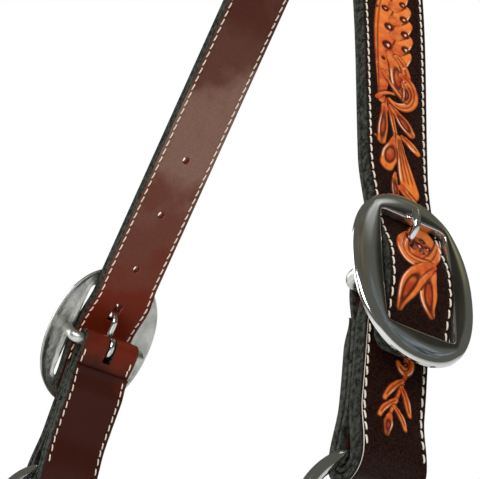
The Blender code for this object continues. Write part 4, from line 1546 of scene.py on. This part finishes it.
def card(name, towards, distance, size, dim, light, scale):
    """A round soft-edged card that shows only in reflections, clouded between two tones."""
    direction = Vector(towards).normalized()
    sheet = added(bpy.ops.mesh.primitive_plane_add, size=size, location=direction * distance)
    sheet.name = name
    sheet.rotation_euler = direction.to_track_quat("Z", "Y").to_euler()
    sheet.visible_camera = False
    sheet.visible_diffuse = False
    sheet.visible_shadow = False
    sheet.visible_transmission = False
    finish = Finish(name + "_finish")
    tone = finish.mix(finish.ramp(finish.noise(scale, 2.0), 0.4, 0.62), screen(*dim), screen(*light))
    away = finish.node("VectorMath", [(0, finish.spot())], operation="LENGTH").outputs["Value"]
    fade = finish.ramp(away, CARD_FADE[0] * size, CARD_FADE[1] * size)
    tone = finish.mix(fade, tone, REFLECTED_TONE)
    finish.link(tone, "Emission Color")
    finish.set(Base_Color=(0.0, 0.0, 0.0, 1.0), Roughness=1.0, Specular_IOR_Level=0.0, Emission_Strength=1.0)
    sheet.data.materials.append(finish.material)


def soft_lamp(name, place, aim, size, power, glossy=True):
    lamp = bpy.data.lights.new(name, "AREA")
    lamp.shape = "SQUARE"
    lamp.size = size
    lamp.energy = power
    obj = add_object(name, lamp)
    obj.location = place
    obj.rotation_euler = (Vector(aim) - Vector(place)).to_track_quat("-Z", "Y").to_euler()
    obj.visible_glossy = glossy


studio_world()
card("white_card", (0.70, 0.52, 0.50), 2.6, 1.2, (170, 180, 186), (236, 240, 240), 4.0)
card("blue_card", (0.62, 0.64, 0.46), 2.5, 1.7, (52, 60, 64), (142, 150, 156), 6.0)
card("olive_card", (0.08, 0.82, 0.56), 2.4, 1.2, (88, 84, 58), (150, 142, 104), 2.0)
card("shade_card", (0.36, 0.78, 0.50), 1.9, 0.82, (38, 37, 32), (56, 53, 46), 2.0)
card("side_card", (0.47, 0.28, 0.84), 3.0, 2.0, (84, 80, 66), (108, 102, 88), 2.0)
card("cloud_card", (0.235, 0.545, 0.77), 2.2, 1.1, (176, 177, 174), (222, 222, 219), 2.0)
LAMP_AIM = (0.0, -0.04, -0.2)
soft_lamp("key_lamp", (1.0, -1.5, 1.1), LAMP_AIM, 1.0, 26.0)
soft_lamp("fill_lamp", (-1.4, -1.0, 0.4), LAMP_AIM, 1.2, 10.0)
soft_lamp("back_lamp", (-0.6, 1.6, 0.8), LAMP_AIM, 1.2, 10.0, False)

# Camera, in metres, degrees and pixels of the photograph
CAMERA_PLACE = Vector((0.54781, -0.36294, -0.22719))
CAMERA_AIM = Vector((0.00488, -0.04346, -0.13097))
CAMERA_ROLL = 0.345
PHOTO_WIDTH = 480
FOCAL_PIXELS = 1710.25
SENSOR_WIDTH = 36.0

lens = bpy.data.cameras.new("camera")
lens.sensor_width = SENSOR_WIDTH
lens.lens = SENSOR_WIDTH * FOCAL_PIXELS / PHOTO_WIDTH
camera = add_object("camera", lens)
facing = (CAMERA_AIM - CAMERA_PLACE).to_track_quat("-Z", "Y").to_matrix()
facing = (facing @ Matrix.Rotation(math.radians(-CAMERA_ROLL), 3, "Z")).to_4x4()
camera.matrix_world = Matrix.Translation(CAMERA_PLACE) @ facing
bpy.context.scene.camera = camera
bpy.context.scene.view_settings.view_transform = "Standard"
